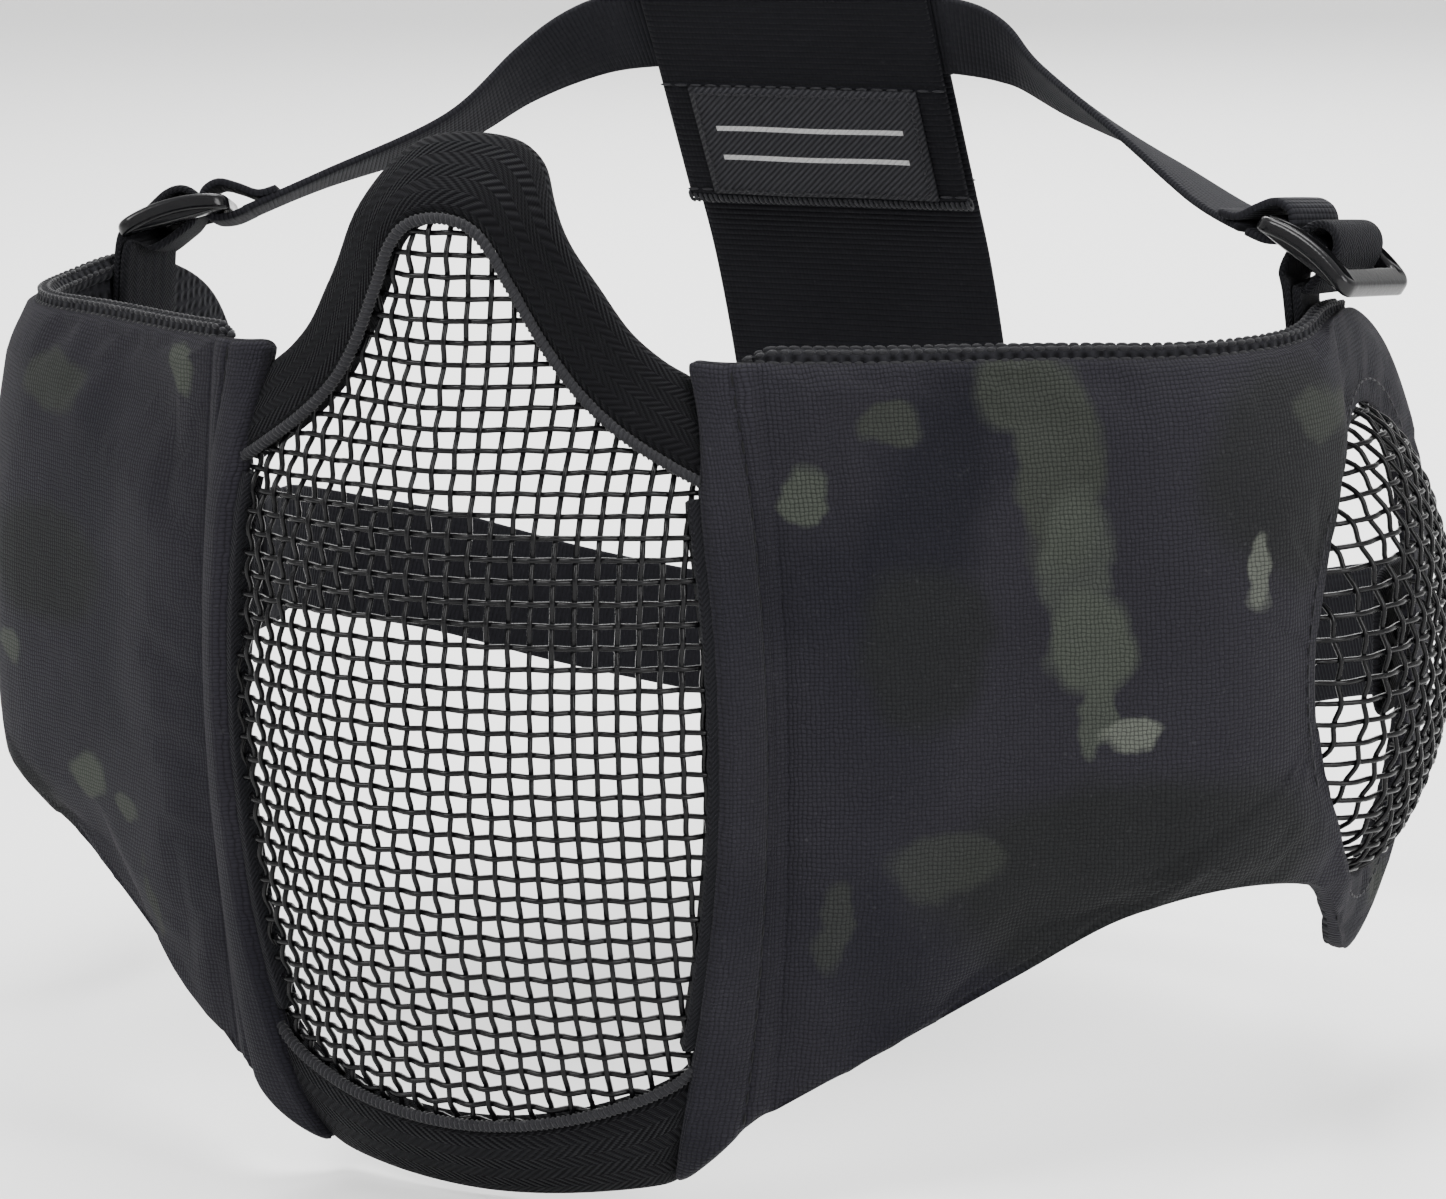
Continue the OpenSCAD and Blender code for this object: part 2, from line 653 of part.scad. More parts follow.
// Elastic from the sleeve's middle to the slide's inner bar and back on itself
elastic_t = 1.2;
tail_l = 12;
tail_gap = 0.9;
module crown_strap(side) {
    route = crown_route(side);
    w = along_bars(side);
    bar = slide_at(side) - across_bars(side) * (slide_l / 2 - bar_w / 2);
    r = loop_r - strap_t / 2 + elastic_t / 2;
    in_w = [0, crown_u.x, crown_u.y];
    back = route[crown_last] - bar;
    d = unit(back - w * (back * w));
    m = cross(d, w);
    mid = [for (k = [0:2 * crown_last])
        let (
            u = k / 2,
            t = unit(path_at(route, min(u + 0.1, crown_last)) - path_at(route, max(u - 0.1, 0))),
            v0 = unit(lerp(in_w, w, smooth((u - twist_from) / (crown_last - twist_from + 0.5)))),
            v = unit(v0 - t * (v0 * t))
        )
        [path_at(route, u), v, unit(cross(v, t))]];
    s = mid[2 * crown_last][2] * m > 0 ? 1 : -1;
    arc = [for (a = [0:20:180])
        let (n = cos(a) * m * s - sin(a) * d) [bar + n * r, w, n]];
    tail = [for (l = [tail_l - 7, tail_l])
        [bar + back * l / norm(back) - m * s * lerp(r * 0.75, tail_gap, l / tail_l), w, -m * s]];
    both(side)
    ribbon(concat(mid, arc, tail), strap_w, elastic_t);
}
module crown_strap_left() {
    color("#1f1f22") crown_strap(1);
}
module crown_strap_right() {
    color("#1f1f22") crown_strap(-1);
}

// Nape strap from the cup's rear edge round to the band's lower loop
nape_z = -10;
tab_s = cup_end - 2;
tab_n = lining_t + 1.2;
tab_front = wing_p(tab_s - 9, nape_z, -tab_n - 2.6);
tab_rear = wing_p(tab_s + 5, nape_z, -tab_n - 1);
tab_dir = unit(tab_rear - tab_front);
tab_over = 2;
nape_route = [
    tab_rear + tab_dir * (tab_over + layer), tab_rear + tab_dir * 6, [98, 150, nape_z - 3.5],
    [83, 161, nape_z - 8], [62, 168, nape_z - 14], [39, 171.5, nape_z - 18],
    [flat_half, nape_mid.x, nape_mid.y], [flat_half * 2 / 3, nape_mid.x, nape_mid.y],
    [flat_half / 3, nape_mid.x, nape_mid.y], [layer, nape_mid.x, nape_mid.y]
];
module nape_strap(side) {
    up = [0, 0, 1];
    n = len(nape_route) - 1;
    stations = [for (k = [0:2 * n])
        let (
            u = k / 2,
            t = k == 0 ? tab_dir
                : unit(path_at(nape_route, min(u + 0.1, n)) - path_at(nape_route, max(u - 0.1, 0))),
            v = unit(up - t * (up * t))
        )
        [path_at(nape_route, u), v, unit(cross(v, t))]];
    both(side) ribbon(stations, nape_w, elastic_t);
}
module nape_strap_left() {
    color("#1f1f22") nape_strap(1);
}
module nape_strap_right() {
    color("#1f1f22") nape_strap(-1);
}

// Stiff tab with round corners that joins the nape strap to the cup
tab_h = nape_w + 2;
tab_t = 1.4;
module nape_tab(side) {
    y = [0, 0, 1];
    z = unit(cross(tab_dir, y));
    yy = cross(z, tab_dir);
    l = norm(tab_rear - tab_front) + tab_over;
    r = 3;
    both(side)
    multmatrix([
        [tab_dir.x, yy.x, z.x, tab_front.x], [tab_dir.y, yy.y, z.y, tab_front.y],
        [tab_dir.z, yy.z, z.z, tab_front.z], [0, 0, 0, 1]
    ])
    translate([0, 0, -tab_t / 2])
    linear_extrude(tab_t)
    union() {
        translate([r, -tab_h / 2])
        square([l - r, tab_h]);
        translate([0, r - tab_h / 2])
        square([l, tab_h - 2 * r]);
        for (e = [-1, 1])
            translate([r, e * (tab_h / 2 - r)])
            circle(r);
    }
}
module nape_tab_left() {
    color("#1a1a1c") nape_tab(1);
}
module nape_tab_right() {
    color("#1a1a1c") nape_tab(-1);
}

// Crown band in side view as [y, z]: sleeve round the crown strap, back of the head, loop round the nape
sleeve_gap = elastic_t / 2 + clear + band_t / 2;
sleeve_half = strap_w / 2 + 0.6;
nape_half = nape_w / 2 + 0.6;
turn_in_l = 33;
nape_u = [0, -1];
nape_n = [1, 0];
band_path = concat(
    [for (l = [turn_in_l, turn_in_l - 8, 16, 8, 0, -sleeve_half])
        crown_mid + crown_u * l - crown_n * sleeve_gap],
    [for (a = [30:30:150])
        crown_mid - crown_u * (sleeve_half + sleeve_gap * sin(a)) - crown_n * sleeve_gap * cos(a)],
    [for (l = [-sleeve_half, 0, 8, 16, 25, turn_in_l]) crown_mid + crown_u * l + crown_n * sleeve_gap],
    [[151.5, 43], [159, 25], [165.5, 5]],
    [for (l = [-nape_half - 4, -nape_half + 4, 0, nape_half]) nape_mid + nape_u * l + nape_n * sleeve_gap],
    [for (a = [30:30:150])
        nape_mid + nape_u * (nape_half + sleeve_gap * sin(a)) + nape_n * sleeve_gap * cos(a)],
    [for (l = [nape_half, 0, -nape_half - 2]) nape_mid + nape_u * l - nape_n * sleeve_gap]
);
function side_of(path, k) =
    let (
        a = path[max(k - 1, 0)],
        b = path[min(k + 1, len(path) - 1)],
        t = unit(b - a)
    )
    [-t.y, t.x];
function thick_line(path, t) = concat(
    [for (k = [0:len(path) - 1]) path[k] + side_of(path, k) * t / 2],
    [for (k = [len(path) - 1:-1:0]) path[k] - side_of(path, k) * t / 2]
);
module side_profile(pts, w) {
    translate([-w / 2, 0, 0])
    rotate([90, 0, 90])
    linear_extrude(w)
    polygon(pts);
}
module crown_band() {
    color("#19191b") side_profile(thick_line(band_path, band_t), band_w);
}

// Blank woven patch on the sleeve's inner face
label_h = 22;
label_t = 0.8;
module label() {
    base = crown_mid - crown_n * (sleeve_gap + band_t / 2 + label_t / 2 + 0.05);
    from = sleeve_half + 1.5;
    color("#2a2a2d")
    side_profile(thick_line([base + crown_u * from, base + crown_u * (from + label_h)], label_t), label_l);
}

face_mesh();
nose_binding();
nose_piping();
chin_binding();
chin_piping();
edge_tape_right();
edge_tape_left();
hem_right();
hem_left();
wing_cover_right();
wing_cover_left();
wing_pad_right();
wing_pad_left();
wing_lining_right();
wing_lining_left();
ear_mesh_right();
ear_mesh_left();
anchor_loop_right();
anchor_loop_left();
tri_glide_right();
tri_glide_left();
crown_strap_right();
crown_strap_left();
nape_strap_right();
nape_strap_left();
nape_tab_right();
nape_tab_left();
crown_band();
label();
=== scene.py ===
import math
import bmesh
import bpy
import numpy as np
from mathutils import Matrix, Vector


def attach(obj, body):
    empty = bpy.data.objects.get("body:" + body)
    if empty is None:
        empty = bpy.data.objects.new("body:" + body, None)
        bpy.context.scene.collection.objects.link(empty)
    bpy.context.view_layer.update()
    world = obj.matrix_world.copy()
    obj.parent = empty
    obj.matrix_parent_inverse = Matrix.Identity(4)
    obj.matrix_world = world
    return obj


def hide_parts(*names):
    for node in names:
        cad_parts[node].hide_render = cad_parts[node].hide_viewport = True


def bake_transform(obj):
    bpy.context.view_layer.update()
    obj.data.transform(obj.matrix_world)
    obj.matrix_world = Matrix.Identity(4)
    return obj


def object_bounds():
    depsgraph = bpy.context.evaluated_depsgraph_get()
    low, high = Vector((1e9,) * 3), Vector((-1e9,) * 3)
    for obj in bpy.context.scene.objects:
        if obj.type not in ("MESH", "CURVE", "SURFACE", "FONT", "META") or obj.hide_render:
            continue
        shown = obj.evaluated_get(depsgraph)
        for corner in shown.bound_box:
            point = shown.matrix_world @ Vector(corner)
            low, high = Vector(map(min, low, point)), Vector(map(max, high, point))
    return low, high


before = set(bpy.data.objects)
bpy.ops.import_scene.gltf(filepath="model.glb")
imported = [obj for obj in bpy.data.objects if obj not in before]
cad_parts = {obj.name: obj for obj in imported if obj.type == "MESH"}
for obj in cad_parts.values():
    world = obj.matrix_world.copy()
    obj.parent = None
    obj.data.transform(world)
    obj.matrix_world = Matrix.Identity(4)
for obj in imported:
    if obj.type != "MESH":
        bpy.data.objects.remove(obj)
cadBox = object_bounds()
print("frame loaded")

scene = bpy.context.scene
mm = 0.001
bothSides = ((1, "left"), (-1, "right"))

cameraSetup = {
    "right": (0.92512741, 0.3792728, -0.01707103),
    "up": (-0.06342832, 0.19873485, 0.97799862),
    "back": (0.37432088, -0.90369055, 0.20791169),
    "place": (0.2932465, -0.6165003, 0.1592323),
    "lens": 121.46,
}


def makeCamera(setup):
    data = bpy.data.cameras.new("camera")
    data.sensor_width = 36
    data.lens = setup["lens"]
    data.clip_start = 0.02
    data.clip_end = 60
    obj = bpy.data.objects.new("camera", data)
    scene.collection.objects.link(obj)
    m = Matrix.Identity(4)
    for col, key in enumerate(("right", "up", "back", "place")):
        for row in range(3):
            m[row][col] = setup[key][row]
    obj.matrix_world = m
    scene.camera = obj


makeCamera(cameraSetup)
print("camera placed")


def addNode(tree, kind, inputs=None, **settings):
    node = tree.nodes.new(kind)
    for key, value in settings.items():
        setattr(node, key, value)
    for key, value in (inputs or {}).items():
        if isinstance(value, bpy.types.NodeSocket):
            tree.links.new(value, node.inputs[key])
        else:
            node.inputs[key].default_value = value
    return node


def mathNode(tree, operation, a, b=0.0, c=None):
    values = {0: a, 1: b}
    if c is not None:
        values[2] = c
    return addNode(tree, "ShaderNodeMath", values, operation=operation).outputs[0]


def vecNode(tree, operation, a, b=None):
    values = {0: a}
    if b is not None:
        values[1] = b
    node = addNode(tree, "ShaderNodeVectorMath", values, operation=operation)
    return node.outputs["Value"] if operation in ("LENGTH", "DISTANCE") else node.outputs[0]


def objectPlace(tree):
    return addNode(tree, "ShaderNodeTexCoord").outputs["Object"]


def joinShader(tree, shader, colour, roughness, normal):
    # the sockets that every material's own texture feeds
    for key, value in (("Base Color", colour), ("Roughness", roughness), ("Normal", normal)):
        if value is not None:
            tree.links.new(value, shader.inputs[key])


def mixColour(tree, share, a, b):
    return addNode(tree, "ShaderNodeMix", {0: share, 6: a, 7: b}, data_type="RGBA").outputs[2]


def noiseNode(tree, place, scale, detail):
    return addNode(tree, "ShaderNodeTexNoise",
                   {"Vector": place, "Scale": scale, "Detail": detail}).outputs["Fac"]


def bumpFrom(tree, height, distance, **more):
    return addNode(tree, "ShaderNodeBump", {"Height": height, "Distance": distance, **more}).outputs[0]


def newGroup(name, kind, inputs, outputs):
    tree = bpy.data.node_groups.new(name, kind)
    for key, socketType, value in inputs:
        socket = tree.interface.new_socket(key, in_out="INPUT", socket_type=socketType)
        if value is not None:
            socket.default_value = value
    for key, socketType in outputs:
        tree.interface.new_socket(key, in_out="OUTPUT", socket_type=socketType)
    return tree, tree.nodes.new("NodeGroupInput"), tree.nodes.new("NodeGroupOutput")


def smooth(t):
    c = min(max(t, 0.0), 1.0)
    return c * c * (3 - 2 * c)


def unit(v):
    v = np.asarray(v, float)
    return v / max(np.linalg.norm(v), 1e-12)


def lerp(a, b, t):
    return a + (b - a) * t


def splinePoint(points, u):
    n = len(points) - 1
    i = min(max(int(math.floor(u)), 0), n - 1)
    t = u - i
    p0, p1, p2, p3 = (points[max(i - 1, 0)], points[i], points[i + 1], points[min(i + 2, n)])
    return 0.5 * (2 * p1 + (p2 - p0) * t + (2 * p0 - 5 * p1 + 4 * p2 - p3) * t * t
                  + (3 * p1 - p0 - 3 * p2 + p3) * t ** 3)


def runLength(points):
    return np.concatenate([[0], np.cumsum([np.linalg.norm(b[:3] - a[:3]) for a,
                                           b in zip(points, points[1:])])])


def evenPath(points, step):
    points = [np.asarray(p, float) for p in points]
    fine = [splinePoint(points, u) for u in np.linspace(0, len(points) - 1, 40 * (len(points) - 1) + 1)]
    cum = runLength(fine)
    count = max(int(round(cum[-1] / step)), 2)
    wanted = np.linspace(0, cum[-1], count + 1)
    fine = np.array(fine)
    return [np.array([np.interp(w, cum, fine[:, k]) for k in range(fine.shape[1])]) for w in wanted], wanted


def curveY(x, points):
    i = 0
    while i < len(points) - 2 and x >= points[i + 1][0]:
        i += 1

    def slope(k):
        a, b = max(k - 1, 0), min(k + 1, len(points) - 1)
        return (points[b][1] - points[a][1]) / (points[b][0] - points[a][0])

    w = points[i + 1][0] - points[i][0]
    t = (x - points[i][0]) / w
    return ((2 * t ** 3 - 3 * t * t + 1) * points[i][1] + (t ** 3 - 2 * t * t + t) * slope(i) * w
            + (3 * t * t - 2 * t ** 3) * points[i + 1][1] + (t ** 3 - t * t) * slope(i + 1) * w)


def linkMesh(name, mesh, material):
    obj = bpy.data.objects.new(name, mesh)
    scene.collection.objects.link(obj)
    if material is not None:
        mesh.materials.append(material)
    return obj


def fixNormals(mesh):
    bm = bmesh.new()
    bm.from_mesh(mesh)
    bmesh.ops.recalc_face_normals(bm, faces=bm.faces)
    bm.to_mesh(mesh)
    bm.free()


def gridObject(name, rings, material, u=None, v=None, wrapRing=True, wrapRow=False, caps=True, uv=None):
    # a skin over rings of points, in millimetres; u and v give the pattern's coordinates
    rows, cols = len(rings), len(rings[0])
    verts = [tuple(float(c) * mm for c in p) for ring in rings for p in ring]
    faces, corners = [], []
    lastRow = rows if wrapRow else rows - 1
    lastCol = cols if wrapRing else cols - 1
    for i in range(lastRow):
        for j in range(lastCol):
            a = [(i, j), (i, j + 1), (i + 1, j + 1), (i + 1, j)]
            faces.append([(p % rows) * cols + q % cols for p, q in a])
            corners.append(a)
    if caps and not wrapRow:
        faces.append([j for j in range(cols)])
        corners.append([(0, j) for j in range(cols)])
        faces.append([(rows - 1) * cols + j for j in range(cols)])
        corners.append([(rows - 1, j) for j in range(cols)])
    mesh = bpy.data.meshes.new(name)
    mesh.from_pydata(verts, [], faces)
    layer = mesh.uv_layers.new(name="surface")
    k = 0
    for face in corners:
        for i, j in face:
            if uv is not None:
                layer.data[k].uv = uv[i % rows][j % cols]
            else:
                layer.data[k].uv = (float(u[i]), float(v[j]))
            k += 1
    for p in mesh.polygons:
        p.use_smooth = True
    fixNormals(mesh)
    return linkMesh(name, mesh, material)


def joinObjects(name, objects):
    # one mesh from several, keeping each one's pattern coordinates
    mesh = bpy.data.meshes.new(name)
    verts, faces, uvs, flags, mats, used = [], [], [], [], [], []
    for obj in objects:
        base = len(verts)
        data = obj.data
        verts += [tuple(v.co) for v in data.vertices]
        layer = data.uv_layers.active
        slots = []
        for m in data.materials:
            if m not in mats:
                mats.append(m)
            slots.append(mats.index(m))
        for p in data.polygons:
            faces.append([base + i for i in p.vertices])
            flags.append(p.use_smooth)
            used.append(slots[p.material_index] if slots else 0)
            for k in p.loop_indices:
                uvs.append(tuple(layer.data[k].uv) if layer else (0.0, 0.0))
    mesh.from_pydata(verts, [], faces)
    layer = mesh.uv_layers.new(name="surface")
    for k, value in enumerate(uvs):
        layer.data[k].uv = value
    for m in mats:
        mesh.materials.append(m)
    for p, flag, slot in zip(mesh.polygons, flags, used):
        p.use_smooth = flag
        p.material_index = slot
    for obj in objects:
        old = obj.data
        bpy.data.objects.remove(obj)
        bpy.data.meshes.remove(old)
    result = bpy.data.objects.new(name, mesh)
    scene.collection.objects.link(result)
    return result


def lineObject(name, lines):
    # loose edges for the node trees to work on
    verts, edges = [], []
    for line in lines:
        base = len(verts)
        verts += [tuple(float(c) * mm for c in p) for p in line]
        edges += [(base + k, base + k + 1) for k in range(len(line) - 1)]
    mesh = bpy.data.meshes.new(name)
    mesh.from_pydata(verts, edges, [])
    return linkMesh(name, mesh, None)


def bakeNodes(obj, tree, values):
    mod = obj.modifiers.new(tree.name, "NODES")
    mod.node_group = tree
    ids = {s.name: s.identifier for s in tree.interface.items_tree
           if s.item_type == "SOCKET" and s.in_out == "INPUT"}
    for key, value in values.items():
        mod[ids[key]] = value
    graph = bpy.context.evaluated_depsgraph_get()
    graph.update()
    mesh = bpy.data.meshes.new_from_object(obj.evaluated_get(graph), preserve_all_data_layers=True,
                                           depsgraph=graph)
    mesh.name = obj.name
    obj.modifiers.remove(mod)
    old = obj.data
    obj.data = mesh
    bpy.data.meshes.remove(old)
    return obj


def painted(tree, start, end, last):
    paint = addNode(tree, "GeometryNodeSetMaterial",
                    {"Geometry": last.outputs[0], "Material": start.outputs["Material"]})
    tree.links.new(paint.outputs[0], end.inputs[0])
    return tree


def wireTree():
    # every line becomes a round wire with a little unevenness
    tree, start, end = newGroup("crimpedWire", "GeometryNodeTree", [
        ("Geometry", "NodeSocketGeometry", None), ("Radius", "NodeSocketFloat", 0.0004),
        ("Sides", "NodeSocketInt", 6), ("Wobble", "NodeSocketFloat", 0.0001),
        ("Seed", "NodeSocketFloat", 1.0), ("Material", "NodeSocketMaterial", None)],
        [("Geometry", "NodeSocketGeometry")])
    place = addNode(tree, "GeometryNodeInputPosition").outputs[0]
    noise = addNode(tree, "ShaderNodeTexNoise", {"Vector": place, "W": start.outputs["Seed"],
                    "Scale": 90.0, "Detail": 1.0}, noise_dimensions="4D")
    centred = vecNode(tree, "SUBTRACT", noise.outputs["Color"], (0.5, 0.5, 0.5))
    scaled = addNode(tree, "ShaderNodeVectorMath", {0: centred, "Scale": start.outputs["Wobble"]},
                     operation="SCALE").outputs[0]
    moved = addNode(tree, "GeometryNodeSetPosition",
                    {"Geometry": start.outputs["Geometry"], "Offset": scaled})
    curve = addNode(tree, "GeometryNodeMeshToCurve", {"Mesh": moved.outputs[0]})
    ring = addNode(tree, "GeometryNodeCurvePrimitiveCircle",
                   {"Resolution": start.outputs["Sides"], "Radius": start.outputs["Radius"]})
    tube = addNode(tree, "GeometryNodeCurveToMesh",
                   {"Curve": curve.outputs[0], "Profile Curve": ring.outputs[0], "Fill Caps": True})
    shade = addNode(tree, "GeometryNodeSetShadeSmooth", {"Geometry": tube.outputs[0]})
    real = addNode(tree, "GeometryNodeRealizeInstances", {"Geometry": shade.outputs[0]})
    return painted(tree, start, end, real)


def threadTree():
    # short rounded thread runs along a line: stitches, knit loops
    tree, start, end = newGroup("threadRuns", "GeometryNodeTree", [
        ("Geometry", "NodeSocketGeometry", None), ("Pitch", "NodeSocketFloat", 0.003),
        ("Length", "NodeSocketFloat", 0.0022), ("Thickness", "NodeSocketFloat", 0.0004),
        ("Jitter", "NodeSocketFloat", 0.1), ("Seed", "NodeSocketInt", 1),
        ("Material", "NodeSocketMaterial", None)],
        [("Geometry", "NodeSocketGeometry")])
    curve = addNode(tree, "GeometryNodeMeshToCurve", {"Mesh": start.outputs["Geometry"]})
    points = addNode(tree, "GeometryNodeCurveToPoints",
                     {"Curve": curve.outputs[0], "Length": start.outputs["Pitch"]}, mode="LENGTH")
    along = addNode(tree, "FunctionNodeAlignRotationToVector", {"Vector": points.outputs["Tangent"]},
                    axis="Z")
    ball = addNode(tree, "GeometryNodeMeshUVSphere", {"Segments": 6, "Rings": 5, "Radius": 0.5})
    shake = addNode(tree, "FunctionNodeRandomValue", {"Seed": start.outputs["Seed"]}, data_type="FLOAT")
    spread = mathNode(tree, "MULTIPLY", start.outputs["Jitter"],
                      mathNode(tree, "SUBTRACT", shake.outputs[1], 0.5))
    long = mathNode(tree, "MULTIPLY", start.outputs["Length"], mathNode(tree, "ADD", spread, 1.0))
    size = addNode(tree, "ShaderNodeCombineXYZ", {"X": start.outputs["Thickness"],
                   "Y": start.outputs["Thickness"], "Z": long})
    copies = addNode(tree, "GeometryNodeInstanceOnPoints",
                     {"Points": points.outputs[0], "Instance": ball.outputs[0],
                      "Rotation": along.outputs[0], "Scale": size.outputs[0]})
    real = addNode(tree, "GeometryNodeRealizeInstances", {"Geometry": copies.outputs[0]})
    shade = addNode(tree, "GeometryNodeSetShadeSmooth", {"Geometry": real.outputs[0]})
    return painted(tree, start, end, shade)


def whipTree():
    # small leaning rings round a line, as on whipped cord
    tree, start, end = newGroup("whippedCord", "GeometryNodeTree", [
        ("Geometry", "NodeSocketGeometry", None), ("Pitch", "NodeSocketFloat", 0.0008),
        ("Radius", "NodeSocketFloat", 0.0007), ("Thread", "NodeSocketFloat", 0.00025),
        ("Lean", "NodeSocketFloat", 0.35), ("Material", "NodeSocketMaterial", None)],
        [("Geometry", "NodeSocketGeometry")])
    curve = addNode(tree, "GeometryNodeMeshToCurve", {"Mesh": start.outputs["Geometry"]})
    points = addNode(tree, "GeometryNodeCurveToPoints",
                     {"Curve": curve.outputs[0], "Length": start.outputs["Pitch"]}, mode="LENGTH")
    lean = addNode(tree, "FunctionNodeAxisAngleToRotation", {"Axis": (1.0, 0.0, 0.0),
                   "Angle": start.outputs["Lean"]})
    turned = addNode(tree, "FunctionNodeRotateRotation", {"Rotation": points.outputs["Rotation"],
                     "Rotate By": lean.outputs[0]}, rotation_space="LOCAL")
    loop = addNode(tree, "GeometryNodeCurvePrimitiveCircle",
                   {"Resolution": 9, "Radius": start.outputs["Radius"]})
    thin = addNode(tree, "GeometryNodeCurvePrimitiveCircle",
                   {"Resolution": 5, "Radius": start.outputs["Thread"]})
    tube = addNode(tree, "GeometryNodeCurveToMesh",
                   {"Curve": loop.outputs[0], "Profile Curve": thin.outputs[0]})
    copies = addNode(tree, "GeometryNodeInstanceOnPoints",
                     {"Points": points.outputs[0], "Instance": tube.outputs[0],
                      "Rotation": turned.outputs[0]})
    real = addNode(tree, "GeometryNodeRealizeInstances", {"Geometry": copies.outputs[0]})
    shade = addNode(tree, "GeometryNodeSetShadeSmooth", {"Geometry": real.outputs[0]})
    return painted(tree, start, end, shade)


wireNodes = wireTree()
threadNodes = threadTree()
whipNodes = whipTree()
print("geometry node trees built")


def plainWeaveGroup():
    # yarns crossing one over one; Vector is in millimetres on the cloth
    tree, start, end = newGroup("plainWeave", "ShaderNodeTree", [
        ("Vector", "NodeSocketVector", None), ("Pitch", "NodeSocketFloat", 0.6)],
        [("Height", "NodeSocketFloat"), ("Yarn", "NodeSocketFloat")])
    split = addNode(tree, "ShaderNodeSeparateXYZ", {0: start.outputs["Vector"]})
    noise = addNode(tree, "ShaderNodeTexNoise", {"Vector": start.outputs["Vector"], "Scale": 0.35,
                                                 "Detail": 2.0})
    drift = mathNode(tree, "MULTIPLY", noise.outputs["Fac"], 0.8)
    angleU = mathNode(tree, "MULTIPLY", mathNode(tree, "DIVIDE",
                      mathNode(tree, "ADD", split.outputs[0], drift), start.outputs["Pitch"]), math.pi)
    angleV = mathNode(tree, "MULTIPLY", mathNode(tree, "DIVIDE",
                      mathNode(tree, "SUBTRACT", split.outputs[1], drift), start.outputs["Pitch"]), math.pi)
    over = mathNode(tree, "MULTIPLY", mathNode(tree, "SINE", angleU), mathNode(tree, "SINE", angleV))
    rise = mathNode(tree, "POWER", mathNode(tree, "ABSOLUTE", over), 0.6)
    side = mathNode(tree, "GREATER_THAN", over, 0.0)
    tree.links.new(mathNode(tree, "MULTIPLY_ADD", side, 0.18, rise), end.inputs["Height"])
    tree.links.new(side, end.inputs["Yarn"])
    return tree


def herringboneGroup():
    # slanted ribs that change sides from column to column
    tree, start, end = newGroup("herringbone", "ShaderNodeTree", [
        ("Vector", "NodeSocketVector", None), ("Column", "NodeSocketFloat", 1.6),
        ("Pitch", "NodeSocketFloat", 0.9)], [("Height", "NodeSocketFloat")])
    split = addNode(tree, "ShaderNodeSeparateXYZ", {0: start.outputs["Vector"]})
    fold = mathNode(tree, "PINGPONG", split.outputs[1], start.outputs["Column"])
    phase = mathNode(tree, "DIVIDE", mathNode(tree, "ADD", split.outputs[0],
                     mathNode(tree, "MULTIPLY", fold, 1.1)), start.outputs["Pitch"])
    wave = mathNode(tree, "SINE", mathNode(tree, "MULTIPLY", phase, 2 * math.pi))
    across = mathNode(tree, "ABSOLUTE", mathNode(tree, "SINE",
                      mathNode(tree, "MULTIPLY", split.outputs[1], 2 * math.pi / 0.55)))
    high = mathNode(tree, "MULTIPLY_ADD", wave, 0.42, 0.5)
    tree.links.new(mathNode(tree, "MULTIPLY_ADD", across, 0.22, high), end.inputs["Height"])
    return tree


def ribGroup():
    # woven elastic: ribs across the length and fine lines along it
    tree, start, end = newGroup("elasticRibs", "ShaderNodeTree", [
        ("Vector", "NodeSocketVector", None), ("Rib", "NodeSocketFloat", 1.1),
        ("Line", "NodeSocketFloat", 0.8), ("Line Depth", "NodeSocketFloat", 0.35)],
        [("Height", "NodeSocketFloat")])
    split = addNode(tree, "ShaderNodeSeparateXYZ", {0: start.outputs["Vector"]})
    rib = mathNode(tree, "ABSOLUTE", mathNode(tree, "SINE", mathNode(tree, "MULTIPLY",
                   mathNode(tree, "DIVIDE", split.outputs[0], start.outputs["Rib"]), math.pi)))
    line = mathNode(tree, "ABSOLUTE", mathNode(tree, "SINE", mathNode(tree, "MULTIPLY",
                    mathNode(tree, "DIVIDE", split.outputs[1], start.outputs["Line"]), math.pi)))
    deep = mathNode(tree, "POWER", rib, 0.55)
    total = mathNode(tree, "ADD", deep, mathNode(tree, "MULTIPLY", line, start.outputs["Line Depth"]))
    tree.links.new(total, end.inputs["Height"])
    return tree


def knitGroup():
    # open honeycomb of a spacer knit
    tree, start, end = newGroup("spacerKnit", "ShaderNodeTree", [
        ("Vector", "NodeSocketVector", None), ("Pitch", "NodeSocketFloat", 2.0)],
        [("Height", "NodeSocketFloat"), ("Hole", "NodeSocketFloat")])
    scaled = addNode(tree, "ShaderNodeVectorMath", {0: start.outputs["Vector"],
                     1: (1.0, 1.0, 0.0)}, operation="MULTIPLY").outputs[0]
    size = mathNode(tree, "DIVIDE", 1.0, start.outputs["Pitch"])
    cells = addNode(tree, "ShaderNodeTexVoronoi", {"Vector": scaled, "Scale": size, "Randomness": 0.25},
                    voronoi_dimensions="2D")
    hole = addNode(tree, "ShaderNodeMapRange", {"Value": cells.outputs["Distance"], 1: 0.12, 2: 0.5})
    tree.links.new(hole.outputs[0], end.inputs["Height"])
    tree.links.new(hole.outputs[0], end.inputs["Hole"])
    return tree


